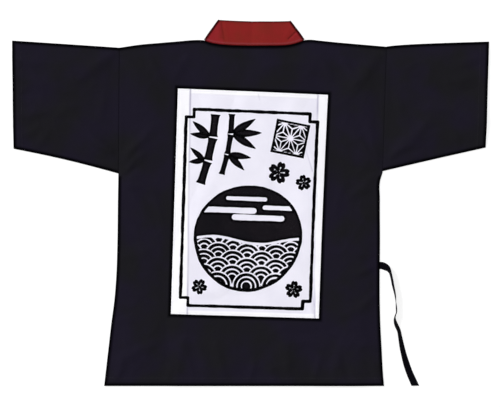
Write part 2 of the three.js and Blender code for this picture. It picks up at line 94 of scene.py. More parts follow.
# Soft ridges: one end, other end, width, height.
BACK_FOLDS = [
    (-272, 78, -196, 152, 56, 2.6), (268, 84, 206, 148, 52, 2.2), (-262, 306, -196, 214, 60, 2),
    (276, 302, 214, 224, 58, 2.3), (-252, -366, -226, -236, 62, 2.9), (226, -372, 236, -262, 56, 2.4),
    (-84, -372, -62, -300, 64, 1.8), (78, -376, 64, -306, 58, 2.2), (262, -136, 200, -112, 50, 1.9),
    (-268, -132, -214, -150, 52, 1.6), (-96, 300, -20, 292, 52, 1.5), (60, 296, 132, 306, 54, 1.7),
    (-92, 176, -122, 20, 70, 1.3), (104, 190, 132, 44, 66, 1.6), (62, -196, 108, -96, 70, 1.2),
]
SLEEVE_FOLDS = [
    (-330, 300, -452, 278, 58, 2), (-322, 116, -414, 176, 54, 2.4), (-486, 214, -420, 226, 50, 1.5),
    (336, 308, 446, 272, 56, 2.2), (330, 122, 410, 188, 56, 2.1), (490, 196, 424, 214, 52, 1.7),
]
SLEEVE_LIFT = 0.9
SEAM_HEIGHT = 1.36  # middle of the layers that meet in a side seam
SEAM_SHADE = 0.35  # how far the armhole seams are dark
# Creases, which the solids don't have. Negative ones are troughs.
BACK_CREASES = [
    (-292, 74, -196, 20, 13, 2.6), (-288, 96, -204, 178, 14, 2.8), (-290, 62, -214, -34, 12, 1.9),
    (286, 82, 202, 170, 14, 2.7), (284, 66, 208, -8, 12, 2.3), (288, 100, 232, 214, 12, 1.8),
    (-284, 326, -206, 240, 13, 2.2), (292, 330, 212, 232, 14, 2.4), (-314, -352, -206, -300, 14, 2.3),
    (290, -330, 196, -296, 13, 2.1), (-298, -120, -204, -96, 12, 1.9), (284, -214, 204, -250, 13, 2.2),
    (-168, -398, -150, -286, 14, 2.3), (-58, -400, -84, -290, 12, 1.9), (84, -400, 70, -286, 14, 2.4),
    (176, -398, 196, -300, 12, 1.9), (-132, 330, -168, 270, 12, 1.7), (150, 332, 186, 266, 13, 1.9),
    (-284, 70, -226, 118, 8, 2.1), (-286, 58, -232, 84, 7, -1.4), (-282, 88, -244, 146, 9, 1.6),
    (-280, 38, -236, 34, 7, 1.2), (284, 74, 236, 128, 8, 1.9), (286, 58, 226, 78, 8, -1.4),
    (280, 94, 256, 152, 8, 1.4), (284, 34, 244, 22, 7, 1.1), (-290, -20, -222, -44, 10, 1.8),
    (-288, -84, -238, -80, 9, -1.2), (-296, -176, -232, -206, 10, 2.1), (-304, -262, -248, -252, 9, 1.4),
    (282, -136, 226, -166, 8, 2.1), (282, -144, 240, -120, 7, -1.4), (284, -196, 236, -228, 9, 1.6),
    (284, -40, 230, -20, 9, 1.8), (-230, 334, -190, 268, 10, 1.8), (-150, 326, -112, 284, 9, 1.4),
    (-52, 322, 28, 314, 10, -1.1), (96, 320, 148, 290, 9, 1.4), (206, 322, 236, 260, 10, 1.9),
    (-300, -396, -284, -330, 9, 2.1), (-190, -398, -174, -336, 10, 1.9), (-112, -396, -130, -318, 9, -1.6),
    (-10, -398, 6, -340, 10, 1.8), (54, -398, 36, -348, 9, 1.4), (132, -396, 152, -332, 10, 1.9),
    (214, -398, 200, -328, 9, -1.8), (278, -396, 264, -344, 9, 1.6), (-214, 40, -186, -60, 10, 1.4),
    (210, 60, 188, -40, 11, 1.2), (-150, -300, -40, -318, 12, 1.2), (60, -296, 170, -310, 11, 1.4),
]
SLEEVE_CREASES = [
    (-294, 96, -404, 190, 14, 2.9), (-296, 78, -398, 122, 12, 2.3), (-292, 326, -392, 262, 13, 2.3),
    (-518, 286, -416, 250, 12, 2.0), (-518, 190, -424, 212, 13, 2.1), (-476, 118, -440, 172, 11, 1.7),
    (298, 98, 402, 196, 14, 2.8), (294, 80, 388, 112, 12, 2.2), (300, 328, 404, 268, 13, 2.4),
    (516, 278, 420, 258, 12, 2.0), (514, 174, 430, 208, 13, 2.2), (462, 118, 436, 166, 11, 1.6),
    (-296, 332, -356, 300, 9, 1.6), (-300, 108, -356, 134, 9, 2.1), (-300, 90, -362, 104, 8, -1.4),
    (-514, 148, -458, 174, 10, 1.9), (-516, 320, -448, 306, 10, 1.6), (-510, 242, -462, 236, 9, -1.2),
    (-372, 212, -436, 186, 12, 1.6), (-318, 250, -330, 180, 10, 1.4), (306, 336, 370, 306, 9, 1.8),
    (300, 104, 358, 130, 9, 2.1), (298, 88, 352, 98, 8, -1.4), (510, 160, 454, 188, 10, 1.9),
    (516, 324, 458, 298, 10, 1.6), (502, 248, 456, 238, 9, -1.4), (380, 218, 440, 206, 12, 1.4),
    (322, 244, 336, 172, 10, 1.6),
]

# Side tie: place, and how far the tape is tipped off the flat.
SIDE_TIE = np.array([
    (282.9, -138, 0), (288.4, -138, 0), (293, -139.4, 8), (298.6, -142.6, 27), (303.2, -147.4, 56),
    (306.4, -153.4, 73), (308.8, -161.5, 77), (310.8, -171, 78), (312.8, -182, 79), (315.4, -193, 82),
    (317.7, -205, 87), (318.8, -217, 95), (320.0, -230, 103), (320.2, -240, 102), (317.2, -249, 103),
    (316.6, -257, 112), (319.6, -267.5, 123), (325.4, -280.5, 124), (328.2, -294, 127), (332.0, -314, 136),
    (336.7, -333.8, 143), (342.4, -353.6, 154), (349.4, -373.4, 160), (358.0, -393, 168),
    (362.4, -402.4, 170),
])
LEVEL_END = 14.0  # length of its last part, which is sheared to end level with the hem
# Front tie: the same, flat between the fronts.
FRONT_TIE = np.array([
    (140, -181, 0), (108, -184, 0), (72, -192, 0), (34, -205, 0), (-6, -224, 0), (-44, -250, 0),
    (-80, -284, 0), (-92, -296, 0),
])


# ---------------------------------------------------------------- helpers on arrays
def smooth(value, low, high):
    """0 at low, 1 at high, and rounded between."""
    share = np.clip((value - low) / (high - low), 0.0, 1.0)
    return share * share * (3.0 - 2.0 * share)


def bell(value, width):
    """1 at nought, falling away on both sides within about width."""
    return np.exp(-(value / width) ** 2)


def curve(table, at):
    """A smooth curve through a table's rows of (place, value)."""
    xs, ys = table[:, 0], table[:, 1]
    slopes = np.gradient(ys, xs)
    i = np.clip(np.searchsorted(xs, at) - 1, 0, len(xs) - 2)
    wide = xs[i + 1] - xs[i]
    t = np.clip((at - xs[i]) / wide, 0.0, 1.0)
    start = (2 * t**3 - 3 * t**2 + 1) * ys[i] + (t**3 - 2 * t**2 + t) * wide * slopes[i]
    return start + (3 * t**2 - 2 * t**3) * ys[i + 1] + (t**3 - t**2) * wide * slopes[i + 1]


def to_stretch(x, y, a, b):
    """Distance from points to the stretch from a to b, and how far along it they lie."""
    dx, dy = b[0] - a[0], b[1] - a[1]
    along = np.clip(((x - a[0]) * dx + (y - a[1]) * dy) / (dx * dx + dy * dy), 0.0, 1.0)
    return np.hypot(x - a[0] - along * dx, y - a[1] - along * dy), along


def sides(outline):
    """Each side of a closed outline: its two ends."""
    return zip(outline, outline[1:] + outline[:1])


def to_outline(outline, x, y):
    """Distance from points to the nearest side of a closed outline."""
    least = np.full(np.shape(x), 1e9)
    for a, b in sides(outline):
        least = np.minimum(least, to_stretch(x, y, a, b)[0])
    return least


def is_inside(outline, x, y):
    """Whether points lie within a closed outline."""
    found = np.zeros(np.shape(x), bool)
    for a, b in sides(outline):
        if a[1] != b[1]:
            crosses = (a[1] > y) != (b[1] > y)
            found ^= crosses & (x < a[0] + (b[0] - a[0]) * (y - a[1]) / (b[1] - a[1]))
    return found


def signed(outline, x, y):
    """Distance to a closed outline, negative inside it."""
    return np.where(is_inside(outline, x, y), -1.0, 1.0) * to_outline(outline, x, y)


def cover(outline, x, y, reach, ramp):
    """1 over an outline and for reach past it, then down to 0 within ramp."""
    return 1.0 - smooth(np.maximum(signed(outline, x, y), 0.0), reach, reach + ramp)


def soft_noise(x, y, size, seed):
    """Smooth random heights from -1 to 1 with hills about size apart."""
    rng = np.random.default_rng(seed)
    values = rng.uniform(-1, 1, (256, 256))
    gx, gy = np.asarray(x) / size + 97.3, np.asarray(y) / size + 61.7
    ix, iy = np.floor(gx).astype(int), np.floor(gy).astype(int)
    tx, ty = smooth(gx - ix, 0, 1), smooth(gy - iy, 0, 1)
    at = lambda i, j: values[i % 256, j % 256]
    low = at(ix, iy) * (1 - tx) + at(ix + 1, iy) * tx
    high = at(ix, iy + 1) * (1 - tx) + at(ix + 1, iy + 1) * tx
    return low * (1 - ty) + high * ty


def fold_height(folds, x, y):
    """The soft ridges, each highest in its middle."""
    total = np.zeros(np.shape(x))
    for x0, y0, x1, y1, width, height in folds:
        distance, along = to_stretch(x, y, (x0, y0), (x1, y1))
        across = np.maximum(0.0, 1.0 - (distance / width) ** 2)
        total += height * across * across * (0.55 + 0.45 * np.sin(np.pi * along))
    return total


def crease_height(creases, x, y):
    """Narrow creases: a ridge, steeper on one side where it runs down into a slight trough, that wavers
    and fades towards both ends."""
    total = np.zeros(np.shape(x))
    waver = 3.0 * soft_noise(x, y, 34, 3)
    for x0, y0, x1, y1, width, height in creases:
        px, py = x + waver, y - waver
        _, along = to_stretch(px, py, (x0, y0), (x1, y1))
        long = math.hypot(x1 - x0, y1 - y0)
        off = ((px - x0) * (y1 - y0) - (py - y0) * (x1 - x0)) / long
        past = np.hypot(px - x0 - along * (x1 - x0), py - y0 - along * (y1 - y0))
        across = np.sign(off) * past / width
        form = (1 + 0.7 * across) * np.exp(-across * across)
        total += height * form * (0.12 + 0.88 * np.sin(np.pi * along) ** 0.8)
    return total


def crumple(x, y, seed):
    """Faint sharp-edged dents, as thin cloth keeps from being handled."""
    one = 1 - np.abs(soft_noise(x + 0.4 * y, y - 0.3 * x, 41, seed))
    two = 1 - np.abs(soft_noise(x - 0.7 * y, y + 0.5 * x, 27, seed + 1))
    return 0.75 * one**3 + 0.45 * two**3


def painted_edge_shade(to_edge):
    """How far shade is painted dark on the cloth near an edge."""
    return 0.97 * (1 - smooth(to_edge, 3.6, 9.2))


def lifted_by(*heights):
    """The sum of some heights, kept from going below nought without a sharp edge."""
    total = sum(heights)
    return 0.5 * (total + np.sqrt(total * total + 0.1))


# ---------------------------------------------------------------- the outlines
def body_side(y, column):
    """A side of the body: a smooth curve as far as the armpit, and straight along the armhole."""
    armhole = BODY[-2:]
    straight = np.interp(y, armhole[:, 0], armhole[:, column])
    return np.where(y > armhole[0, 0], straight, curve(BODY[:, [0, column]], y))


def left_edge(y):
    return body_side(y, 1)


def right_edge(y):
    return body_side(y, 2)


def top_edge(x):
    """The back's upper edge: shoulder, neck, shoulder."""
    left, middle, right = (curve(table, x) for table in (LEFT_SHOULDER, BACK_NECK, RIGHT_SHOULDER))
    return np.where(x < LEFT_NECK[0], left, np.where(x > RIGHT_NECK[0], right, middle))


def slanting(start, side, inset=0.0):
    """The x of an edge of the neckband, which runs down from a point and slants over the body's middle."""
    return lambda y: start[0] - side * inset - side * BAND_SLANT * (start[1] - y)


left_seam_line, right_seam_line = slanting(LEFT_NECK, -1, BAND_INSET), slanting(RIGHT_NECK, 1, BAND_INSET)
LEFT_LAP, RIGHT_LAP = slanting(LEFT_CORNER, -1)(BAND_END), slanting(RIGHT_CORNER, 1)(BAND_END)
LEFT_SIDE = [(float(left), float(y)) for y, left, _ in BODY]
RIGHT_SIDE = [(float(right), float(y)) for y, _, right in BODY]


def front_outline(side_points, neck, seam_line, lap):
    """A front: its side, the seam down to the neckband's end, and its lap from there to the hem."""
    return side_points + [neck, (seam_line(BAND_END), BAND_END), (lap, BAND_END), (lap, HEM)]


def leg_outline(neck, corner, seam_line, lap):
    """The neckband's part down a front."""
    return [neck, corner, (lap, BAND_END), (seam_line(BAND_END), BAND_END)]


LEFT_FRONT_OUTLINE = front_outline(LEFT_SIDE, LEFT_NECK, left_seam_line, LEFT_LAP)
RIGHT_FRONT_OUTLINE = front_outline(RIGHT_SIDE, RIGHT_NECK, right_seam_line, RIGHT_LAP)
LEFT_LEG_OUTLINE = leg_outline(LEFT_NECK, LEFT_CORNER, left_seam_line, LEFT_LAP)
RIGHT_LEG_OUTLINE = leg_outline(RIGHT_NECK, RIGHT_CORNER, right_seam_line, RIGHT_LAP)
BODY_OUTLINE = (
    LEFT_SIDE
    + [(float(x), float(top_edge(x))) for x in np.linspace(-288.3, 298.9, 90)]
    + RIGHT_SIDE[::-1]
)
TIE_REACH = 6.2  # from the front tie's middle to its edges, across and down
FRONT_TIE_OUTLINE = [(x + TIE_REACH, y - TIE_REACH) for x, y, _ in FRONT_TIE] + [
    (x - TIE_REACH, y + TIE_REACH) for x, y, _ in FRONT_TIE[::-1]
]
SHOULDER_SEAMS = [((-288.4, 340.6), (-120.0, 357.6)), ((299.0, 342.8), (136.0, 357.8))]


# ---------------------------------------------------------------- how high each layer lies
def under_lap(x, y, reach, ramp):
    """What the left front, its neckband and the front tie lift above them."""
    return np.maximum.reduce([
        (CLOTH + SEAM) * cover(LEFT_FRONT_OUTLINE, x, y, reach, ramp),
        (BAND + SEAM) * cover(LEFT_LEG_OUTLINE, x, y, reach, ramp),
        (CLOTH + TAPE + 2 * SEAM) * cover(FRONT_TIE_OUTLINE, x, y, reach, ramp),
    ])


def under_right_front(x, y):
    return under_lap(x, y, 22, 42)


def to_body_edge(x, y):
    return to_outline(BODY_OUTLINE, x, y)


def ripple(x, y, seed):
    """The slight unevenness of cloth that has been folded and laid out again."""
    medium = soft_noise(x * 0.8 - y * 0.6, y * 0.8 + x * 0.6, 43, seed + 1)
    large = soft_noise(x, y, 92, seed) + 0.5 * medium
    small = soft_noise(x + 0.5 * y, y - 0.3 * x, 17, seed + 2)
    clear = np.maximum(smooth(np.abs(x), 176, 206), smooth(np.abs(y), 252, 280))
    return 0.7 + (0.75 + 0.3 * clear) * large + 0.09 * small + clear * crumple(x, y, seed + 3)


def under_back(x, y):
    """Underside of the back: over fronts and neckband, down to the front at the seams."""
    reach, ramp = 26, 60
    lap = under_lap(x, y, reach + 40, ramp)
    lying = np.maximum.reduce([
        np.full(np.shape(x), CLOTH + SEAM),
        (BAND + FOLD_GAP) * cover(LEFT_LEG_OUTLINE, x, y, reach, ramp),
        (lap + CLOTH + SEAM) * cover(RIGHT_FRONT_OUTLINE, x, y, reach, ramp),
        (lap + BAND + FOLD_GAP) * cover(RIGHT_LEG_OUTLINE, x, y, reach, ramp),
    ])
    to_edge = to_body_edge(x, y)
    to_seam = np.minimum(x - left_edge(y), right_edge(y) - x)
    to_shoulder = np.minimum.reduce([to_stretch(x, y, a, b)[0] for a, b in SHOULDER_SEAMS])
    base = CLOTH + 0.06
    sewn = smooth(np.minimum(to_seam, to_shoulder), 0, 16)
    inland = smooth(to_edge, 0, 46)
    # The hem lies loose and lifts a little here and there.
    above_hem = y - HEM
    loose = np.maximum(0.0, soft_noise(x, 0 * x, 62, 31)) * (1 - smooth(above_hem, 0, 58))
    lifted = 2.4 * loose * smooth(to_seam, 4, 60)
    lifted = lifted + inland * lifted_by(fold_height(BACK_FOLDS, x, y), ripple(x, y, 5))
    lifted = lifted + smooth(to_edge, 1, 14) * crease_height(BACK_CREASES, x, y)
    return base + (lying - base) * sewn + np.maximum(lifted, 0)


def hem_work(x, to_hem, turning, seed):
    """Extra thickness of a turned-up hem, its sewn line and the puckers beside it."""
    turned = 0.55 * (1 - smooth(to_hem, turning - 1.2, turning + 1.0))
    sewn = -0.32 * bell(to_hem - turning + SEWN_INSIDE, 1.3)
    uneven = 0.5 + 0.5 * soft_noise(x, 0 * x, 37, seed + 4)
    wave = np.sin(x * 0.71 + 2.1 * soft_noise(x, 0 * x, 23, seed)) * uneven
    puckers = 0.2 * wave * bell(to_hem - turning + 3, 8)
    return turned + sewn + puckers


def back_top(x, y):
    """Upper side of the back."""
    to_side = np.minimum(x - left_edge(y), right_edge(y) - x)
    to_top = top_edge(x) - y
    allowance = 0.4 * (1 - smooth(to_side, 8.5, 10.5)) * smooth(to_side, 0.3, 2.5)
    allowance = np.maximum(allowance, 0.35 * (1 - smooth(to_top, 8.5, 10.5)) * smooth(to_top, 0.3, 2.5))
    side_wave = np.sin(y * 0.43 + 2.4 * soft_noise(0 * x, y, 26, 12))
    top_wave = np.sin(x * 0.45 + 2 * soft_noise(x, 0 * x, 25, 14))
    puckers = 0.13 * side_wave * bell(to_side - 9, 9) + 0.12 * top_wave * bell(to_top - 9, 9)
    return under_back(x, y) + CLOTH + allowance + puckers + hem_work(x, y - HEM, HEM_TURNING, 21)


# ---------------------------------------------------------------- meshes
def add_mesh(name, points, faces, material):
    """A smooth mesh on the part's one body, from points in millimetres."""
    mesh = bpy.data.meshes.new(name)
    mesh.from_pydata((np.asarray(points) * 0.001).tolist(), [], [list(face) for face in faces])
    mesh.polygons.foreach_set("use_smooth", np.ones(len(mesh.polygons), bool))
    mesh.materials.append(material)
    mesh.update()
    thing = bpy.data.objects.new(name, mesh)
    bpy.context.scene.collection.objects.link(thing)
    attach(thing, "root")
    return thing


def set_attribute(thing, name, values):
    """A number for each point of a mesh, which its material reads."""
    layer = thing.data.attributes.new(name, "FLOAT", "POINT")
    layer.data.foreach_set("value", np.asarray(values, np.float32).ravel())


def quads(index):
    """Faces of a grid of point numbers, facing up where rows run along +Y and columns along +X."""
    ring = [index[:-1, :-1], index[:-1, 1:], index[1:, 1:], index[1:, :-1]]
    return np.stack(ring, -1)


def wrapped(index):
    """The same rows of point numbers, with each row's first one again at its end."""
    return np.concatenate([index, index[:, :1]], 1)


def edge_steps(zones, inner_edge=False):
    """Knot numbers along a row of zones [(length, cells), ...], closer together at both ends.
    With an inner edge they are closer together at the first zone's far end too."""
    near = np.array((0.12, 0.4, 0.9, 1.8))
    even = [zone + np.arange(cells) / cells for zone, (_, cells) in enumerate(zones)]
    closer = [near / zones[0][0], len(zones) - near / zones[-1][0]]
    if inner_edge:
        closer.append(1 - near / zones[0][0])
    return np.sort(np.concatenate(even + closer + [[len(zones)]]))


def along_knots(knots, at):
    """The value at a place along a row of knots: 0 at the first, 1 at the second and so on."""
    zone = np.minimum(np.floor(at).astype(int), len(knots) - 2)
    low = np.choose(zone, [np.broadcast_to(k, at.shape) for k in knots[:-1]])
    high = np.choose(zone, [np.broadcast_to(k, at.shape) for k in knots[1:]])
    return low + (high - low) * (at - zone)


def grid_over(columns, levels, across, up):
    """Plan points of a grid whose knots across depend on y and whose knots up depend on x."""
    column, level = np.meshgrid(columns, levels)
    x, y = np.zeros(column.shape), np.zeros(column.shape)
    for _ in range(8):
        y = along_knots(up(x), level)
        x = along_knots(across(y), column)
    return x, y


def cloth_shell(name, x, y, low, high, to_edge, material, kept=None):
    """A closed shell between two faces, rounded where it is nearer to its edge than half its thickness."""
    rows, columns = x.shape
    cells = np.ones((rows - 1, columns - 1), bool) if kept is None else kept
    around = np.zeros((rows, columns), int)
    for dj in (0, 1):
        for di in (0, 1):
            around[dj:rows - 1 + dj, di:columns - 1 + di] += cells
    inner, used = around == 4, around > 0
    half = (high - low) / 2
    rounding = np.clip(to_edge / np.maximum(half, 0.2), 0.0, 1.0)
    profile = np.where(inner, np.sqrt(1 - (1 - rounding) ** 2), 0.0)
    middle = (high + low) / 2
    top = np.stack([x, y, middle + half * profile], -1)
    bottom = np.stack([x, y, middle - half * profile], -1)
    top_index = np.full(x.shape, -1)
    top_index[used] = np.arange(used.sum())
    bottom_index = top_index.copy()
    bottom_index[inner] = used.sum() + np.arange(inner.sum())
    faces = list(np.concatenate([quads(top_index)[cells], quads(bottom_index)[cells][:, ::-1]]))
    # A corner cell is cut towards its inner point, so that its two sides don't share a diagonal.
    is_inner = np.concatenate([quads(inner)[cells], quads(inner)[cells][:, ::-1]])
    for k in np.flatnonzero(is_inner.sum(1) == 1):
        a, b, c, d = np.roll(faces[k], -int(np.argmax(is_inner[k])))
        faces[k] = (a, b, c)
        faces.append((a, c, d))
    return add_mesh(name, np.concatenate([top[used], bottom[inner]]), faces, material)


def loft_rings(rings):
    """Points and faces through rings of equal length, closed at both ends."""
    count, around = rings.shape[:2]
    index = np.arange(count * around).reshape(count, around)
    faces = quads(wrapped(index)).reshape(-1, 4).tolist()
    return rings.reshape(-1, 3), faces + [index[0][::-1].tolist(), index[-1].tolist()]


# ---------------------------------------------------------------- materials
def material_nodes(name):
    """A new material, its node tree and its shader."""
    material = bpy.data.materials.new(name)
    material.use_nodes = True
    tree = material.node_tree
    shader = next(node for node in tree.nodes if node.type == "BSDF_PRINCIPLED")
    return material, tree, shader


class Nodes:
    """Short calls for making and linking shader nodes."""

    def __init__(self, tree):
        self.tree = tree

    def add(self, kind, inputs=(), **settings):
        node = self.tree.nodes.new(kind)
        for key, value in settings.items():
            setattr(node, key, value)
        for key, value in dict(inputs).items():
            if isinstance(value, bpy.types.NodeSocket):
                self.tree.links.new(value, node.inputs[key])
            else:
                node.inputs[key].default_value = value
        return node

    def math(self, operation, a, b=0.0):
        return self.add("ShaderNodeMath", {0: a, 1: b}, operation=operation).outputs[0]

    def mix(self, factor, a, b):
        node = self.add("ShaderNodeMix", {0: factor, 6: a, 7: b}, data_type="RGBA")
        return node.outputs[2]

    def ranged(self, value, low, high, to_low=0.0, to_high=1.0):
        inputs = {"Value": value, "From Min": low, "From Max": high, "To Min": to_low, "To Max": to_high}
        return self.add("ShaderNodeMapRange", inputs, interpolation_type="SMOOTHSTEP").outputs["Result"]

    def noise(self, vector, scale, detail=2.0, rough=0.5):
        inputs = {"Vector": vector, "Scale": scale, "Detail": detail, "Roughness": rough}
        return self.add("ShaderNodeTexNoise", inputs).outputs["Fac"]

    def wave(self, vector, pitch, turn=0.0):
        """Even ribs, pitch apart in metres, turned about Z."""
        turned = self.add("ShaderNodeMapping", {"Vector": vector, "Rotation": (0, 0, math.radians(turn))})
        inputs = {"Vector": turned.outputs[0], "Scale": 2 * math.pi / (20 * pitch), "Distortion": 0.0}
        return self.add("ShaderNodeTexWave", inputs, wave_type="BANDS", bands_direction="X").outputs["Fac"]

    def attribute(self, name):
        return self.add("ShaderNodeAttribute", attribute_name=name).outputs["Fac"]


def set_inputs(shader, values):
    """Constants for a shader's inputs."""
    for name, value in values.items():
        shader.inputs[name].default_value = value


def rgb(red, green, blue):
    """A colour for a shader from the 0 to 255 values of a screen."""
    def linear(value):
        value /= 255
        return value / 12.92 if value <= 0.04045 else ((value + 0.055) / 1.055) ** 2.4
    return (linear(red), linear(green), linear(blue), 1.0)


def woven_bump(make, shader, place, height, depth, strength=0.5):
    """A fine bump, with a few slubs in it."""
    height = make.math("ADD", height, make.math("MULTIPLY", make.noise(place, 900), 0.5))
    bump = make.add("ShaderNodeBump", {"Height": height, "Strength": strength, "Distance": depth})
    make.tree.links.new(bump.outputs[0], shader.inputs["Normal"])


def black_material(name, plain, purple, edge, fleck, roughness):
    """Nearly black twill in soft patches of two shades, with lighter flecks, and shade painted dark along its
    outline.
    """
    material, tree, shader = material_nodes(name)
    make = Nodes(tree)
    place = make.add("ShaderNodeTexCoord").outputs["Object"]
    ribs = make.wave(place, 0.0011, 62)
    patches = make.ranged(make.noise(place, 9, 3.0), 0.36, 0.64)
    shade = make.mix(patches, plain, purple)
    light_ribs = make.math("MULTIPLY", ribs, 0.16)
    light_specks = make.math("MULTIPLY", make.noise(place, 2400), 0.3)
    lighter = make.math("ADD", light_ribs, light_specks)
    shade = make.mix(make.math("MULTIPLY", lighter, fleck), shade, rgb(44, 41, 52))
    # Painted shade: darker along the coat's outline, beside the patch and at the armhole seams.
    shade = make.mix(make.attribute("outline"), shade, edge)
    tree.links.new(shade, shader.inputs["Base Color"])
    cross = make.wave(place, 0.0007, -20)
    woven = make.math("ADD", make.math("MULTIPLY", ribs, 0.8), make.math("MULTIPLY", cross, 0.2))
    woven_bump(make, shader, place, woven, 0.00012)
    set_inputs(shader, {
        "Roughness": roughness,
        "Specular IOR Level": 0.015,
        "Sheen Weight": 0.1,
        "Sheen Roughness": 0.3,
        "Sheen Tint": rgb(90, 84, 108),
    })
    return material


def red_material():
    """Rust red plain weave, with painted light on its corner facets, painted shade along its edges and folds,
    and a painted highlight on the ridge beside its seam.
    """
    material, tree, shader = material_nodes("band_cloth")
    make = Nodes(tree)
    place = make.add("ShaderNodeTexCoord").outputs["Object"]
    patches = make.ranged(make.noise(place, 32, 3.0), 0.35, 0.65)
    shade = make.mix(patches, rgb(115, 31, 26), rgb(123, 28, 28))
    shade = make.mix(make.math("MULTIPLY", make.noise(place, 2400), 0.2), shade, rgb(143, 51, 48))
    # Painted light on the corner facets, a painted highlight on the ridge beside the seam, and painted shade
    # along the edges, folds and crease.
    shade = make.mix(make.math("MULTIPLY", make.attribute("painted_facet_light"), 0.7), shade, rgb(139, 33, 42))
    shade = make.mix(make.math("MULTIPLY", make.attribute("pale"), 0.6), shade, rgb(132, 60, 66))
    shade = make.mix(make.math("MULTIPLY", make.attribute("painted_band_shade"), 0.96), shade, rgb(38, 0, 1))
    tree.links.new(shade, shader.inputs["Base Color"])
    woven = make.math("MULTIPLY", make.wave(place, 0.0008, 1), make.wave(place, 0.0008, 91))
    woven_bump(make, shader, place, woven, 0.0001)
    set_inputs(shader, {"Roughness": 0.85, "Specular IOR Level": 0.02, "Sheen Weight": 0.03})
    return material


def thread_material(name, colour):
    """Matt sewing thread with a slight twist."""
    material, tree, shader = material_nodes(name)
    make = Nodes(tree)
    place = make.add("ShaderNodeTexCoord").outputs["Object"]
    shade = make.noise(place, 1800, 2.0)
    darker = tuple(c * 0.7 for c in colour[:3]) + (1.0,)
    tree.links.new(make.mix(shade, darker, colour), shader.inputs["Base Color"])
    twist = make.wave(place, 0.0005, 40)
    bump = make.add("ShaderNodeBump", {"Height": twist, "Strength": 0.4, "Distance": 0.0001})
    tree.links.new(bump.outputs[0], shader.inputs["Normal"])
    set_inputs(shader, {"Roughness": 0.6, "Specular IOR Level": 0.25})
    return material


def panel_material():
    """White cloth with turned-in margins and a black print, whose edge is where the attribute ink is 0."""
    material, tree, shader = material_nodes("panel_cloth")
    make = Nodes(tree)
    place = make.add("ShaderNodeTexCoord").outputs["Object"]
    blotches = make.ranged(make.noise(place, 16, 3.0), 0.3, 0.7)
    single = make.mix(blotches, rgb(219, 217, 229), rgb(225, 223, 234))
    double = make.mix(blotches, rgb(234, 233, 238), rgb(237, 236, 240))
    white = make.mix(make.attribute("doubled"), single, double)
    # Where the turned-in edges show through, and painted shade along the creases' troughs.
    white = make.mix(make.math("MULTIPLY", make.attribute("show_through_and_crease_shade"), 0.9), white, rgb(158, 154, 178))
    rough_edge = make.math("SUBTRACT", make.noise(place, 420, 3.0, 0.6), 0.5)
    ink_edge = make.math("ADD", make.attribute("ink"), make.math("MULTIPLY", rough_edge, 0.9))
    inked = make.ranged(ink_edge, -0.22, 0.22, 1.0, 0.0)
    worn = make.ranged(make.noise(place, 1500, 2.0, 0.7), 0.66, 0.76, 1.0, 0.75)
    inked = make.math("MULTIPLY", inked, worn)
    inner_ink = make.mix(blotches, rgb(17, 16, 20), rgb(23, 20, 24))
    ink = make.mix(make.ranged(make.attribute("ink"), -7.0, -2.6), inner_ink, rgb(1, 1, 2))
    tree.links.new(make.mix(inked, white, ink), shader.inputs["Base Color"])
    woven = make.math("MULTIPLY", make.wave(place, 0.0007, 2), make.wave(place, 0.0007, 92))
    height = make.math("ADD", woven, make.math("MULTIPLY", make.noise(place, 700, 2.0), 0.6))
    bump = make.add("ShaderNodeBump", {"Height": height, "Strength": 0.35, "Distance": 0.00009})
    tree.links.new(bump.outputs[0], shader.inputs["Normal"])
    tree.links.new(make.ranged(inked, 0, 1, 0.86, 0.8), shader.inputs["Roughness"])
    set_inputs(shader, {"Specular IOR Level": 0.01})
    return material


# Each one's third colour is its painted edge shade.
BLACK_CLOTH = black_material("coat_cloth", rgb(20, 20, 21), rgb(22, 19, 31), rgb(0, 0, 1), 0.6, 0.82)
TAPE_CLOTH = black_material("tie_cloth", rgb(4, 4, 5), rgb(6, 5, 9), rgb(0, 0, 1), 0.2, 0.8)
RED_CLOTH = red_material()
WHITE_CLOTH = panel_material()
BLACK_THREAD = thread_material("black_thread", rgb(30, 27, 36))
RED_THREAD = thread_material("red_thread", rgb(150, 46, 48))
WHITE_THREAD = thread_material("white_thread", rgb(244, 243, 246))


# ---------------------------------------------------------------- stitches
def stitch_template():
    """One stitch a unit long: five narrowing rings of six points, lying half sunk in the cloth."""
    rings = []
    for along, wide in ((-0.5, 0.25), (-0.36, 0.85), (0.0, 1.0), (0.36, 0.85), (0.5, 0.25)):
        angles = np.arange(6) * math.pi / 3
        rings.append(np.stack([np.full(6, along), wide * np.cos(angles), wide * np.sin(angles)], -1))
    return loft_rings(np.array(rings))


def sew(name, rows, material, pitch=3.4, share=0.74, radius=0.3, sink=0.35):
    """Rows of stitches. Each row is the points of its line, and the direction out of the cloth there."""
    unit, faces = stitch_template()
    points, all_faces, count = [], [], 0
    for line, up in rows:
        line = np.asarray(line, float)
        up = np.broadcast_to(np.asarray(up, float), line.shape)
        run = np.concatenate([[0], np.cumsum(np.linalg.norm(np.diff(line, axis=0), axis=1))])
        number = max(1, int(run[-1] // pitch))
        middles = (np.arange(number) + 0.5) * run[-1] / number
        at = lambda values, where: np.stack([np.interp(where, run, values[:, k]) for k in range(3)], -1)
        start, end = at(line, middles - pitch * share / 2), at(line, middles + pitch * share / 2)
        long = np.linalg.norm(end - start, axis=1, keepdims=True)
        along = (end - start) / long
        side = np.cross(at(up, middles), along)
        side /= np.linalg.norm(side, axis=1, keepdims=True)
        normal = np.cross(along, side)
        centre = (start + end) / 2 + normal * radius * (1 - 2 * sink)
        arch = radius * 0.5 * (1 - (2 * unit[:, 0]) ** 2)
        body = (
            centre[:, None]
            + unit[None, :, 0, None] * (along * long)[:, None]
            + unit[None, :, 1, None] * radius * side[:, None]
            + (unit[:, 2] * radius + arch)[None, :, None] * normal[:, None]
        )
        points.append(body.reshape(-1, 3))
        for k in range(number):
            all_faces.extend([v + count + k * len(unit) for v in face] for face in faces)
        count += number * len(unit)
    return add_mesh(name, np.concatenate(points), all_faces, material)


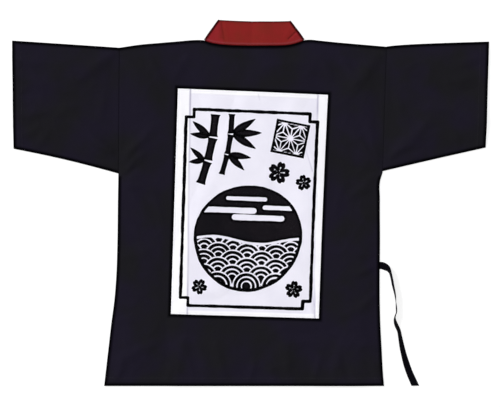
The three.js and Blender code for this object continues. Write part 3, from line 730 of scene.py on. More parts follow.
def flat_line(xs, ys, height):
    """A line on an upper side with height(x, y), and the directions out of it."""
    xs, ys = np.asarray(xs, float), np.asarray(ys, float)
    zs = height(xs, ys)
    slope_x = (height(xs + 0.5, ys) - height(xs - 0.5, ys))
    slope_y = (height(xs, ys + 0.5) - height(xs, ys - 0.5))
    return np.stack([xs, ys, zs], -1), np.stack([-slope_x, -slope_y, np.ones_like(xs)], -1)


# ---------------------------------------------------------------- back
def patch_place(s, t):
    """Where a place on the patch lies: s runs from its left edge to its right one, t from bottom to top."""
    shares = ((1 - s) * (1 - t), s * (1 - t), (1 - s) * t, s * t)
    x, y = (sum(corner[k] * share for corner, share in zip(PATCH, shares)) for k in (0, 1))
    return x - PATCH_BOW * s * np.sin(np.pi * t), y


def line_through(a, b, along):
    """A straight line's other coordinate, as a function of x (along 0) or of y (along 1)."""
    return lambda at: a[1 - along] + (at - a[along]) * (b[1 - along] - a[1 - along]) / (b[along] - a[along])


patch_bottom, patch_top = line_through(PATCH[0], PATCH[1], 0), line_through(PATCH[2], PATCH[3], 0)
patch_left, patch_chord = line_through(PATCH[0], PATCH[2], 1), line_through(PATCH[1], PATCH[3], 1)


def patch_right(y):
    share = (y - PATCH[1][1]) / (PATCH[3][1] - PATCH[1][1])
    return patch_chord(y) - PATCH_BOW * np.sin(np.pi * np.clip(share, 0, 1))


def neck_tuck(x):
    """How far the back's top edge runs on beneath the neckband."""
    return 3.0 * smooth(x, -98, -92) * (1 - smooth(x, 109, 115))


def make_back():
    """The back, whose grid follows its own edges and the patch's, so that both are even."""
    x, y = grid_over(
        edge_steps([(125, 42), (332, 83), (125, 42)]),
        edge_steps([(150, 50), (497, 124), (100, 34)]),
        lambda y: [left_edge(y), patch_left(y), patch_right(y), right_edge(y)],
        lambda x: [HEM + 0 * x, patch_bottom(x), patch_top(x), top_edge(x) + neck_tuck(x)],
    )
    to_edge = np.minimum.reduce([
        x - left_edge(y), right_edge(y) - x, y - HEM, top_edge(x) + neck_tuck(x) - y,
    ])
    low, high = under_back(x, y), back_top(x, y)
    back = cloth_shell("back_cloth", x, y, low, high, to_edge, BLACK_CLOTH)
    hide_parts("back")
    place = np.zeros(3 * len(back.data.vertices))
    back.data.vertices.foreach_get("co", place)
    px, py, _ = 1000 * place.reshape(-1, 3).T
    to_side = np.minimum(px - left_edge(py), right_edge(py) - px)
    past_patch = np.maximum.reduce([
        patch_left(py) - px, px - patch_right(py), patch_bottom(px) - py, py - patch_top(px),
    ])
    # Painted shade along the body's outline, a painted shadow beside the patch's edges, and painted shade at
    # the armhole seams.
    outline = painted_edge_shade(np.minimum.reduce([to_side + 60 * smooth(py, 58, 66), py - HEM, top_edge(px) - py]))
    painted_patch_shadow = painted_edge_shade(np.abs(past_patch))
    seam = SEAM_SHADE * (1 - smooth(to_side, 0.3, 1.4))
    set_attribute(back, "outline", np.maximum.reduce([outline, painted_patch_shadow, seam]))
    level = HEM + HEM_TURNING - SEWN_INSIDE
    xs = np.linspace(float(left_edge(level)) + 1, float(right_edge(level)) - 1, 900)
    row = flat_line(xs, np.full(len(xs), level), back_top)
    return back, sew("back_sewing", [row], BLACK_THREAD)


# ---------------------------------------------------------------- patch and its print
def hand_cut(u, v):
    """The unevenness of a line that was cut by hand."""
    return 0.7 * soft_noise(u, v, 9, 40) + 0.8 * soft_noise(u, v, 27, 41)


def leaf_shape(u, v, root, tip, width):
    """A narrow leaf: widest a third of the way along, with a fine tip."""
    dx, dy = tip[0] - root[0], tip[1] - root[1]
    long = math.hypot(dx, dy)
    t = ((u - root[0]) * dx + (v - root[1]) * dy) / long**2
    off = np.abs((u - root[0]) * dy - (v - root[1]) * dx) / long
    inside = np.clip(t, 0.0, 1.0)
    half = width / 2 * np.maximum(np.sin(np.pi * inside**0.75), 0.0) ** 0.9
    beyond = np.maximum(np.abs(t - 0.5) - 0.5, 0.0) * long
    return np.where(beyond > 0, np.hypot(off, beyond), off - half)


def bamboo(u, v, foot, head, width, joints):
    """A stalk in joints that swell at their ends, with a fine gap between them."""
    field = np.full(u.shape, 1e3)
    stops = np.linspace(0, 1, joints + 1)
    bow = lambda t: 6 * math.sin(math.pi * t)
    place = lambda t: (foot[0] + (head[0] - foot[0]) * t + bow(t), foot[1] + (head[1] - foot[1]) * t)
    for low, high in zip(stops[:-1], stops[1:]):
        a, b = place(low + 0.012), place(high - 0.012)
        long = math.hypot(b[0] - a[0], b[1] - a[1])
        t = ((u - a[0]) * (b[0] - a[0]) + (v - a[1]) * (b[1] - a[1])) / long**2
        off = np.abs((u - a[0]) * (b[1] - a[1]) - (v - a[1]) * (b[0] - a[0])) / long
        ends = np.abs(2 * np.clip(t, 0, 1) - 1)
        half = width / 2 * (0.86 + 0.3 * ends**5)
        field = np.minimum(field, np.maximum(off - half, (np.abs(t - 0.5) - 0.5) * long))
    return field


def blossom(u, v, centre, size, turn):
    """Five notched petals, with white stamens."""
    r = np.hypot(u - centre[0], v - centre[1])
    angle = np.arctan2(u - centre[0], v - centre[1]) - turn
    off = (angle + np.pi / 5) % (2 * np.pi / 5) - np.pi / 5
    petal = np.cos(2.5 * off) ** 0.6
    shape = r - size * (0.5 + 0.5 * petal - 0.13 * bell(off, 0.11))
    stamens = np.maximum(np.abs(r * np.sin(off)) - 0.8, np.abs(r - 0.27 * size) - 0.17 * size)
    heads = np.hypot(r * np.cos(off) - 0.46 * size, r * np.sin(off)) - 0.075 * size
    return np.maximum(shape, -np.minimum(stamens, heads))


def star_tile(u, v, centre, side, turn):
    """A black square with a white lattice of stars."""
    c, s = math.cos(turn), math.sin(turn)
    a = (u - centre[0]) * c + (v - centre[1]) * s
    b = -(u - centre[0]) * s + (v - centre[1]) * c
    square = np.maximum(np.abs(a), np.abs(b)) - side / 2
    step = side / 2
    high = step * math.sqrt(3) / 2
    lines = np.full(u.shape, 1e3)
    for j in range(-3, 4):
        for i in range(-4, 5):
            p = (i * step + (j % 2) * step / 2, j * high)
            right = (p[0] + step, p[1])
            up_right = (p[0] + step / 2, p[1] + high)
            up_left = (p[0] - step / 2, p[1] + high)
            if max(abs(p[0]), abs(p[1])) > side:
                continue
            for q in (right, up_right, up_left):
                lines = np.minimum(lines, to_stretch(a, b, p, q)[0])
            for corners in ((p, right, up_right), (p, up_right, up_left)):
                heart = (sum(q[0] for q in corners) / 3, sum(q[1] for q in corners) / 3)
                for q in corners:
                    lines = np.minimum(lines, to_stretch(a, b, heart, q)[0])
    inner = np.maximum(np.abs(a), np.abs(b)) - side / 2 + 4.5
    return np.maximum(square, -np.maximum(lines - 1.5, inner))


def waves(u, v, radius, line):
    """Rows of overlapping scallops. Negative on their white arcs."""
    field = np.full(u.shape, 1e3)
    for row in range(14, -1, -1):
        level = 40 + row * radius * 0.5
        shift = (row % 2) * radius
        nearest = np.round((u - shift) / (2 * radius)) * 2 * radius + shift
        r = np.hypot(u - nearest, v - level)
        rings = [np.abs(r - (radius - line / 2)) - line / 2]
        rings += [np.abs(r - radius * share) - line / 2 for share in (0.64, 0.34)]
        own = np.minimum.reduce(rings)
        field = np.where(r <= radius, own, np.minimum(field, r - radius))
    return field


def print_field(u, v):
    """The print in millimetres from its edge, negative where there is ink: a framed sun over the sea,
    with bamboo, blossoms and a square of star lattice."""
    cut = hand_cut(u, v)
    width, height = PATCH_SIZE
    left, right, low, high, notch = 20, width - 20, 20, height - 44, 17
    frame_line = [
        (left + notch, low), (right - notch, low), (right - notch, low + notch), (right, low + notch),
        (right, high - notch), (right - notch, high - notch), (right - notch, high), (left + notch, high),
        (left + notch, high - notch), (left, high - notch), (left, low + notch), (left + notch, low + notch),
    ]
    ink = to_outline(frame_line, u, v) - 3.3 + 0.6 * cut
    # The sun: a black disc with white mist across it and waves below.
    centre, radius = (165.0, 172.0), 118.0
    angle = np.arctan2(v - centre[1], u - centre[0])
    out_of_round = 2.2 * np.sin(2 * angle + 0.6) + 1.4 * np.sin(3 * angle)
    disc = np.hypot(u - centre[0], v - centre[1]) - radius - out_of_round
    shore = centre[1] - 8 + 7 * np.sin((u - 40) * 0.032)
    sea = waves(u - 165, v - 26, 32.0, 3.7)
    sea = np.maximum(sea, v - shore)
    crest = np.abs(v - shore - 2.5) - 3.0
    mist = np.full(u.shape, 1e3)
    for a, b, thick in (
        ((64, 232), (176, 232), 6.5), ((134, 217), (238, 217), 6.5), ((200, 240), (272, 240), 5.0),
        ((118, 258), (200, 258), 4.6),
    ):
        mist = np.minimum(mist, to_stretch(u, v, a, b)[0] - thick)
    white = np.maximum(np.minimum.reduce([sea, crest, mist]), disc + 6.5)
    ink = np.minimum(ink, np.maximum(disc + 0.6 * cut, -white - 0.5 * cut))
    ink = np.minimum(ink, bamboo(u, v, (56, 286), (84, 442), 19.0, 3) + 0.4 * cut)
    ink = np.minimum(ink, bamboo(u, v, (102, 308), (120, 444), 12.5, 3) + 0.4 * cut)
    for root, tip, wide in (
        ((73, 392), (34, 424), 14), ((72, 391), (30, 396), 13), ((63, 339), (31, 366), 12),
        ((62, 338), (29, 334), 12), ((124, 402), (172, 434), 16), ((125, 400), (188, 404), 16),
        ((124, 398), (176, 368), 16), ((117, 355), (166, 348), 14), ((116, 353), (152, 320), 14),
    ):
        ink = np.minimum(ink, leaf_shape(u, v, root, tip, wide) + 0.35 * cut)
    ink = np.minimum(ink, star_tile(u, v, (250, 394), 74, math.radians(-9)) + 0.25 * cut)
    for at, size, turn in (
        ((228, 318), 25, 0.3), ((283, 298), 18, -0.2), ((61, 62), 18, 0.5), ((270, 62), 20, 0.1),
    ):
        ink = np.minimum(ink, blossom(u, v, at, size, turn) + 0.3 * cut)
    return ink - 0.3


# Creases of the patch: one end, other end, width, height; negative ones are troughs.
PATCH_CREASES = [
    (107.6, 160, 136, 69, 3.4, -0.9), (111, 158, 140, 66, 6, 0.7), (139, 62, 146, 14, 3.5, -0.6),
    (135, -196, 142, -249, 3.2, -0.8), (144, -206, 149, -244, 4.5, 0.8), (129, -222, 137, -252, 4, 0.7),
    (17, 238, 20, 226, 6, -0.6), (-158, 214, -146, 150, 7, 0.7), (-140, -120, -134, -196, 8, 0.5),
    (-60, -236, -10, -246, 8, 0.6), (60, 232, 98, 240, 8, 0.5),
]


# How clearly the turned-in edges show through, from the patch's bottom to its top: place, strength.
LEFT_TURN_SEEN = [
    (0, 0.06, 0.2, 0.45, 0.6, 0.72, 0.8, 0.93, 1), (0.9, 0.8, 0.45, 0.5, 0.35, 0.65, 0.4, 0.95, 0.9),
]
RIGHT_TURN_SEEN = [
    (0, 0.05, 0.12, 0.45, 0.58, 0.68, 0.8, 0.9, 1), (0.9, 0.8, 0.2, 0.15, 0.45, 0.5, 0.15, 0.9, 0.7),
]


def patch_marks(x, y):
    """How far it is to the patch's edge, how doubled it is, and the lines where its edge is turned in,
    together with shade painted along its troughs.
    """
    to_left, to_right = x - patch_left(y), patch_right(y) - x
    to_bottom, to_top = y - patch_bottom(x), patch_top(x) - y
    share = np.clip((y - PATCH[0][1]) / (PATCH[2][1] - PATCH[0][1]), 0, 1)
    left_turn = 36 - 9 * share + 0.8 * soft_noise(0 * x, y, 60, 50)
    right_turn = 10 + 12.4 * share + 0.8 * soft_noise(0 * x, y, 60, 51)
    lines = [to_left - left_turn, to_right - right_turn, to_bottom - 9, to_top - 9.5]
    doubled = 1 - np.prod([smooth(line, -1.1, 1.1) for line in lines], axis=0)
    faint = 1 - 0.35 * soft_noise(x, y, 33, 52)
    left_line = bell(lines[0], 1.7) * np.interp(share, *LEFT_TURN_SEEN)
    right_line = bell(lines[1], 1.9) * np.interp(share, *RIGHT_TURN_SEEN)
    show_through_and_crease_shade = np.maximum(left_line, right_line)
    # Shade painted along the troughs.
    for x0, y0, x1, y1, _, height in PATCH_CREASES:
        if height < 0:
            distance, _ = to_stretch(x, y, (x0, y0), (x1, y1))
            show_through_and_crease_shade = np.maximum(show_through_and_crease_shade, -0.6 * height * bell(distance, 1.2))
    show_through_and_crease_shade = np.clip(show_through_and_crease_shade * faint, 0, 1)
    return np.minimum.reduce([to_left, to_right, to_bottom, to_top]), doubled, show_through_and_crease_shade


def patch_top_side(x, y):
    """Upper side of the patch: what is doubled, its sewn line and puckers, and its creases."""
    edge, doubled, _ = patch_marks(x, y)
    along = np.where(np.abs(x) > 138, y, x)
    wave = np.sin(along * 0.55 + 2.2 * soft_noise(x, y, 24, 60))
    uneven = 0.5 + 0.5 * soft_noise(x, y, 33, 61)
    sewn = -0.3 * bell(edge - PATCH_SEWN, 1.1) + 0.17 * wave * bell(edge - 5, 8) * uneven
    soft = 0.3 + 0.28 * soft_noise(x, y, 46, 62) + 0.12 * soft_noise(x, y, 17, 63)
    inland = smooth(edge, 6, 40)
    creases = np.zeros(np.shape(x))
    for x0, y0, x1, y1, width, height in PATCH_CREASES:
        distance, t = to_stretch(x, y, (x0, y0), (x1, y1))
        creases += height * bell(distance, width) * np.sin(np.pi * np.clip(0.08 + 0.84 * t, 0, 1))
    thick = 0.62 + 0.4 * doubled + sewn + soft * inland + np.maximum(creases, -0.5)
    return back_top(x, y) + thick


def underside(index):
    """Faces that look down beneath a grid, each over four of its cells, with all points of its border."""
    last_row, last_column = index.shape[0] - 1, index.shape[1] - 1
    faces = []
    for j in range(0, last_row, 2):
        for i in range(0, last_column, 2):
            corners = [(j, i), (j + 2, i), (j + 2, i + 2), (j, i + 2)]
            middles = [(j + 1, i), (j + 2, i + 1), (j + 1, i + 2), (j, i + 1)]
            on_border = [i == 0, j + 2 == last_row, i + 2 == last_column, j == 0]
            face = []
            for corner, middle, kept in zip(corners, middles, on_border):
                face.append(int(index[corner]))
                if kept:
                    face.append(int(index[middle]))
            faces.append(face)
    return faces


def make_patch():
    """The patch: a fine upper face that carries the print, and a coarser one beneath."""
    width, height = PATCH_SIZE
    s, t = np.meshgrid(edge_steps([(width, 216)]), edge_steps([(height, 326)]))
    x, y = patch_place(s, t)
    edge, doubled, show_through_and_crease_shade = patch_marks(x, y)
    high = patch_top_side(x, y)
    low = back_top(x, y)
    rounding = np.sqrt(1 - (1 - np.clip(edge / 0.75, 0, 1)) ** 2)
    z = low + 0.1 + (high - low - 0.1) * rounding
    index = np.arange(x.size).reshape(x.shape)
    kept = np.zeros(x.shape, bool)
    kept[::2, ::2] = True
    kept[[0, -1]] = True
    kept[:, [0, -1]] = True
    lower = np.full(x.shape, -1)
    lower[kept] = x.size + np.arange(kept.sum())
    border = np.concatenate([index[0], index[1:, -1], index[-1, -2::-1], index[-2:0:-1, 0]])
    foot = lower.ravel()[border]
    around = np.stack([border, foot, np.roll(foot, -1), np.roll(border, -1)], -1)
    points = np.concatenate([
        np.stack([x, y, z], -1).reshape(-1, 3), np.stack([x, y, low + 0.05], -1)[kept],
    ])
    faces = quads(index).reshape(-1, 4).tolist() + around.tolist() + underside(lower)
    patch = add_mesh("patch_cloth", points, faces, WHITE_CLOTH)
    for name, values, beneath in (
        ("ink", print_field(s * width, t * height), 9.0),
        ("doubled", doubled, 1.0),
        ("show_through_and_crease_shade", show_through_and_crease_shade, 0.0),
    ):
        set_attribute(patch, name, np.concatenate([values.ravel(), np.full(kept.sum(), beneath)]))
    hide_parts("back_patch")
    left, right, upper = PATCH_SEWN, width - PATCH_SEWN, height - PATCH_SEWN
    corners = [(left, left), (right, left), (right, upper), (left, upper)]
    share = np.linspace(0, 1, 400)
    rows = []
    for a, b in sides(corners):
        u = a[0] + (b[0] - a[0]) * share
        v = a[1] + (b[1] - a[1]) * share
        rows.append(flat_line(*patch_place(u / width, v / height), patch_top_side))
    return patch, sew("patch_sewing", rows, WHITE_THREAD, radius=0.26)


# ---------------------------------------------------------------- fronts
def below(height):
    """The same line seen from beneath: its height, and directions pointing down."""
    return lambda xs, ys: (np.stack([xs, ys, height(xs, ys)], -1), (0.0, 0.0, -1.0))


def make_front(name, node, side):
    """One front: the side of the body as far as the neckband's seam, and below the band as far as its lap."""
    if side < 0:
        seam_line, lap, neck = left_seam_line, LEFT_LAP, LEFT_NECK
        body_edge, side_points = left_edge, LEFT_SIDE
    else:
        seam_line, lap, neck = right_seam_line, RIGHT_LAP, RIGHT_NECK
        body_edge, side_points = right_edge, RIGHT_SIDE
    tuck = 2.5
    tucked_by = lambda y: tuck * smooth(y, BAND_END + 0.5, BAND_END + 7)
    seam_at = lambda y: seam_line(np.maximum(y, BAND_END)) - side * tucked_by(y)
    top_at = lambda x: top_edge(side * np.maximum(side * x, side * neck[0] + 0.01))
    columns = edge_steps([(380, 80), (52, 12)], inner_edge=True)
    levels = edge_steps([(237, 54), (515, 120)], inner_edge=True)
    x, y = grid_over(
        columns,
        levels,
        lambda y: [body_edge(y), seam_at(y), lap + 0 * y],
        lambda x: [HEM + 0 * x, BAND_END + 0 * x, top_at(x)],
    )
    kept = (columns[:-1] < 1) | (levels[:-1, None] < 1)
    seam_points = [(float(seam_at(level)), float(level)) for level in np.linspace(neck[1], BAND_END, 40)]
    to_edge = to_outline(side_points + seam_points + [(lap, BAND_END), (lap, HEM)], x, y)
    if side > 0:
        x, y, to_edge, kept = x[:, ::-1], y[:, ::-1], to_edge[:, ::-1], kept[:, ::-1]

    def under(x, y):
        to_band = 0.935 * np.abs(seam_line(y) - x)
        tucked = 0.5 * (1 - smooth(to_band, 0.2, 5)) * smooth(y, BAND_END, BAND_END + 6)
        return tucked + (under_right_front(x, y) if side > 0 else 0.0)

    low = under(x, y)
    to_lap = np.abs(lap - x)
    below_band = 1 - smooth(y, BAND_END - 2, BAND_END)
    lap_turning = 0.4 * (1 - smooth(to_lap, 18, 20)) * below_band * smooth(to_lap, 0, 1)
    turnings = np.minimum(lap_turning + 0.3 * (1 - smooth(y - HEM, 18, 20)), 0.45)
    high = low + CLOTH - 0.1 + 0.5 * turnings
    front = cloth_shell(name, x, y, low, high, to_edge, BLACK_CLOTH, kept)
    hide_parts(node)
    level = HEM + HEM_TURNING - SEWN_INSIDE
    xs = np.linspace(*sorted((float(body_edge(level)) - side * 2, lap + side * 2)), 500)
    ys = np.linspace(HEM + 2, BAND_END - 3, 250)
    line = below(under)
    rows = [line(xs, np.full(500, level)), line(np.full(250, lap + side * 17.0), ys)]
    return front, sew(f"{node}_sewing", rows, BLACK_THREAD, sink=0.92)


# ---------------------------------------------------------------- sleeves
ACROSS_CELLS, TURN_POINTS = 82, 9  # points over and under a sleeve, and round each of its long edges
UPPER = slice(ACROSS_CELLS + TURN_POINTS, 2 * ACROSS_CELLS + TURN_POINTS)
LOWER = slice(0, ACROSS_CELLS)


def sleeve_ring(shape, share, side, seed, flange=(0.0, 1.0)):
    """A sleeve's section at a share of its length, and how dark its painted edge shade is there: side is 1
    for the outer skin and -1 for the inner one. A flange shifts it into the side seam, pressed flat."""
    (arm_low, arm_top, cuff_low, cuff_top), low_bow, top_bow = shape
    toward = math.copysign(1, cuff_top[0] - arm_top[0])
    length = float(np.linalg.norm((cuff_low + cuff_top - arm_low - arm_top) / 2))
    low = arm_low + (cuff_low - arm_low) * share + (0, low_bow * math.sin(math.pi * share))
    top = arm_top + (cuff_top - arm_top) * share + (0, top_bow * math.sin(math.pi * share**0.55))
    long = float(np.linalg.norm(top - low))
    to_cuff, to_armhole = (1 - share) * length, share * length
    rounding = max(0.03, math.sqrt(1 - (1 - min(to_cuff / (CLOTH / 2), 1)) ** 2))
    inset = CLOTH / 2 * (1 - side * rounding)
    full = 2 * CLOTH + SEAM
    radius = full / 2
    turn = np.radians(np.linspace(-78, 78, TURN_POINTS))
    down = np.linspace(radius, long - radius, ACROSS_CELLS)
    reach = (radius - inset) * np.cos(turn)
    across = np.concatenate([down, long - radius + reach, down[::-1], radius - reach])
    x, y = (low + (top - low) * (across / long)[:, None]).T
    xu, yu = x[UPPER], y[UPPER]
    to_side = np.minimum(down, long - down)[::-1]
    inland = smooth(to_side, 0, 46) * smooth(share, 0, 0.22)
    lift = inland * (SLEEVE_LIFT + lifted_by(fold_height(SLEEVE_FOLDS, xu, yu), ripple(xu, yu, seed)))
    lift += smooth(to_side, 1, 14) * smooth(to_armhole, 1, 14) * crease_height(SLEEVE_CREASES, xu, yu)
    loose = np.maximum(0, soft_noise(yu, 0 * yu, 48, seed + 6)) * smooth(to_side, 2, 46)
    lift = np.maximum(lift, 0) + 2.2 * loose * smooth(share, 0.74, 1)
    if side > 0:
        seamed = 0.35 * (1 - smooth(to_armhole, 8.5, 10.5)) * smooth(to_armhole, 0.2, 2)
        gathers = 0.12 * np.sin(yu * 0.5 + 2 * soft_noise(yu, 0 * yu, 25, seed)) * bell(to_armhole - 9, 8)
        lift += hem_work(yu, to_cuff, CUFF_TURNING, seed + 8) * smooth(to_side, 0, 6) + seamed + gathers
    arc = (radius - inset) * np.sin(turn)
    z = np.concatenate([np.full(ACROSS_CELLS, inset), radius + arc, full + lift - inset, radius - arc])
    back_by, height = flange
    # Painted shade along the sleeve's outline and at its armhole seam.
    outline = painted_edge_shade(np.minimum(np.minimum(across, long - across), to_cuff))
    outline = np.maximum(outline, SEAM_SHADE * (1 - smooth(to_armhole, 0.3, 1.4)))
    return np.stack([x - toward * back_by, y, SEAM_HEIGHT + (z - SEAM_HEIGHT) * height, outline], -1)


def make_sleeve(name, node, shape, seed):
    """One layer folded over at the top edge and sewn at the lower one, pressed flat, open at the cuff."""
    arm_low, arm_top, cuff_low, cuff_top = shape[0]
    length = float(np.linalg.norm((cuff_low + cuff_top - arm_low - arm_top) / 2))
    near = np.array((0.1, 0.3, 0.7, 1.5)) / length
    stations = np.sort(np.concatenate([np.linspace(0, 1, 76), near, 1 - near]))
    flanges = [(8.0, 0.05), (3.0, 0.06), (1.0, 0.3), (0.35, 0.72)]
    outer = [sleeve_ring(shape, 0.0, 1, seed, flange) for flange in flanges]
    outer = np.array(outer + [sleeve_ring(shape, share, 1, seed) for share in stations])
    inner = np.array([sleeve_ring(shape, share, -1, seed) for share in stations])
    if cuff_top[0] < arm_top[0]:
        outer, inner = outer[::-1], inner[::-1]
    count = outer.shape[1]
    outer_index = wrapped(np.arange(len(outer) * count).reshape(-1, count))
    inner_index = wrapped(len(outer) * count + np.arange(len(inner) * count).reshape(-1, count))
    faces = [quads(outer_index), quads(inner_index)[..., ::-1]]
    faces.append(quads(np.stack([outer_index[0], inner_index[0]]))[..., ::-1])
    faces.append(quads(np.stack([outer_index[-1], inner_index[-1]])))
    points = np.concatenate([outer.reshape(-1, 4), inner.reshape(-1, 4)])
    faces = np.concatenate([part.reshape(-1, 4) for part in faces])
    sleeve = add_mesh(name, points[:, :3], faces, BLACK_CLOTH)
    set_attribute(sleeve, "outline", points[:, 3])
    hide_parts(node)
    sewn = sleeve_ring(shape, 1 - (CUFF_TURNING - SEWN_INSIDE) / length, 1, seed)
    upper, lower = sewn[UPPER][2:-2, :3], sewn[LOWER][3:-3, :3]
    over = sew(f"{node}_sewing", [(upper, (0, 0, 1))], BLACK_THREAD)
    beneath = sew(f"{node}_sewing_below", [(lower, (0, 0, -1))], BLACK_THREAD, sink=0.92)
    return sleeve, over, beneath


# ---------------------------------------------------------------- neckband
TURN_RADIUS = (BAND + FOLD_GAP) / 2
AXIS_HEIGHT = BAND / 2 + TURN_RADIUS
BACK_NECK_LIFT = 0.75  # the neckband's middle above the back's underside, where the back is sewn into it


def band_leg(sewn, free, side, under):
    """The part down a front, outer face down: its sewn edge, its free edge and the way it looks."""
    share = np.linspace(0, 1, 112)[:, None]
    edges = []
    for start in (sewn, free):
        y = start[1] + (BAND_END + SEAM - start[1]) * share
        x = start[0] - side * BAND_SLANT * (start[1] - y)
        edges.append(np.concatenate([x, y, under(x, y) + BAND / 2], 1))
    return edges + [np.tile((0.0, 0.0, -1.0), (len(share), 1))]


def band_turn(out, sewn, free):
    """The band turning over at a corner, from outer face down to outer face up."""
    angle = np.radians(np.linspace(-90, 90, 17)[1:])[:, None]
    facing = np.concatenate([out[0] * np.cos(angle), out[1] * np.cos(angle), np.sin(angle)], 1)
    return [np.append(spot, AXIS_HEIGHT) + TURN_RADIUS * facing for spot in (sewn, free)] + [facing]


def band_back(left, right):
    """The part behind the neck, between two turned corners: it settles on the back and droops a little."""
    share = np.linspace(0, 1, 112)[1:-1, None]
    x = left[0][-1, 0] + (right[0][-1, 0] - left[0][-1, 0]) * share
    settle = np.sin(np.pi * share)
    to_turn = (right[0][-1, 0] - left[0][-1, 0]) * np.minimum(share, 1 - share)
    resting = under_back(x, top_edge(x) - 0.3) + BACK_NECK_LIFT
    high = AXIS_HEIGHT + TURN_RADIUS
    z = high + (resting - high) * smooth(to_turn, 0, 16)
    free = left[1][-1] + (right[1][-1] - left[1][-1]) * share
    sewn = np.concatenate([x, top_edge(x) - 0.5, z], 1)
    free = np.concatenate([free[:, :1], free[:, 1:2] - BAND_SAG * settle, z - 0.9 * settle], 1)
    return [sewn, free, np.tile((0.0, 0.0, 1.0), (len(share), 1))]


def band_sections():
    """From one lower end over the back neck to the other: each section's sewn edge, its free edge and
    the way its outer face looks, and 1 for those that are not on a front."""
    legs, turns = [], []
    for neck, corner, side, under in (
        (LEFT_NECK, LEFT_CORNER, -1, lambda x, y: 0 * x), (RIGHT_NECK, RIGHT_CORNER, 1, under_right_front),
    ):
        run = np.array(corner) - neck
        out = side * np.array((run[1], -run[0])) / np.linalg.norm(run)
        away = (TURN_RADIUS + BAND / 2 - FOLD_OUT) * out
        sewn, free = np.array(neck) + (0, 1.5) - away, np.array(corner) - away
        legs.append(band_leg(sewn, free, side, under))
        turns.append(band_turn(out, sewn, free))
    reverse = lambda part: [rows[::-1] for rows in part]
    parts = [reverse(legs[0]), turns[0], band_back(*turns), reverse(turns[1]), legs[1]]
    behind_neck = (0, 1, 1, 1, 0)
    on_back = np.concatenate([np.full((len(part[0]), 1), float(k)) for k, part in zip(behind_neck, parts)])
    return [np.concatenate(rows) for rows in zip(*parts)] + [on_back]


# Creases of the neckband behind the neck: one end, other end, width, height.
BAND_CREASES = [
    (82.3, 360.2, 98.1, 375.3, 2.6, -1.0), (86, 357, 105, 374, 5.5, 0.8), (-65, 399, -58.5, 357, 3.4, -0.9),
    (-74, 398, -68, 358, 6.0, 0.8), (-56, 399, -49, 358, 5.0, 0.5), (92, 396, 76, 362, 5.0, 0.5),
    (-80, 384, -92, 360, 6.0, 0.5), (-26, 394, -8, 358, 8.0, 0.35), (30, 392, 44, 356, 9.0, 0.4),
    (2, 350, 16, 372, 7.0, 0.3), (62, 352, 54, 374, 6.0, 0.35),
]


def band_relief(x, y, across, long, on_back, facing_up):
    """How far the outer face stands out from its plain form. Where it looks down it only sinks in."""
    sewn = -0.34 * bell(across - 3.2, 1.2) - 0.2 * bell(long - across - 2.6, 1.2)
    wave = np.sin(0.62 * (x + 0.4 * y) + 2 * soft_noise(x, y, 21, 70))
    crowned = 0.22 * smooth(np.minimum(across, long - across), 3, 16)
    relief = sewn + crowned + 0.13 * wave * bell(across - 5, 6)
    for x0, y0, x1, y1, width, height in BAND_CREASES:
        distance, along = to_stretch(x, y, (x0, y0), (x1, y1))
        relief = relief + on_back * height * bell(distance, width) * (0.45 + 0.55 * np.sin(np.pi * along))
    return np.minimum(relief, 0) + smooth(facing_up, -0.3, 0.5) * np.maximum(relief, 0)


def band_tones(x, y, across, long, facing_up):
    """Where light is painted on the facets, where shade is painted along edges, folds and a crease, and where
    a highlight is painted on the ridge beside the seam.
    """
    left_of = (-61.8 - x) + (y - 378.8) * -0.161
    below_right = (x - 90.2) * 0.69 - (y - 367.8) * 0.72
    # Painted light on the facets that face up at both corners.
    painted_facet_light = np.maximum(smooth(left_of, 0, 5), smooth(below_right, 0.4, 4) * (x > 60))
    painted_facet_light = painted_facet_light * smooth(facing_up, 0.6, 0.95) * (0.6 + 0.4 * soft_noise(x, y, 12, 71))
    # Painted shade along the edges, the folds and a crease.
    folds = ((LEFT_NECK, LEFT_CORNER), (RIGHT_NECK, RIGHT_CORNER))
    to_fold = np.minimum(*(to_stretch(x, y, neck, corner)[0] for neck, corner in folds))
    rims = [bell(long - across, 3.4), 0.9 * bell(across, 2.4), 1 - smooth(to_fold, 2.4, 5.8)]
    crease = bell(to_stretch(x, y, (82.3, 360.2), (98.1, 375.3))[0], 1.5) * (facing_up > 0.5)
    painted_band_shade = np.maximum.reduce(rims + [0.6 * crease, 0.3 * bell(left_of, 1.6) * smooth(y, 350, 366)])
    # A painted highlight on the ridge beside the seam.
    pale = bell(across - 5.0, 1.4) * (1 - crease)
    return painted_facet_light, painted_band_shade, pale


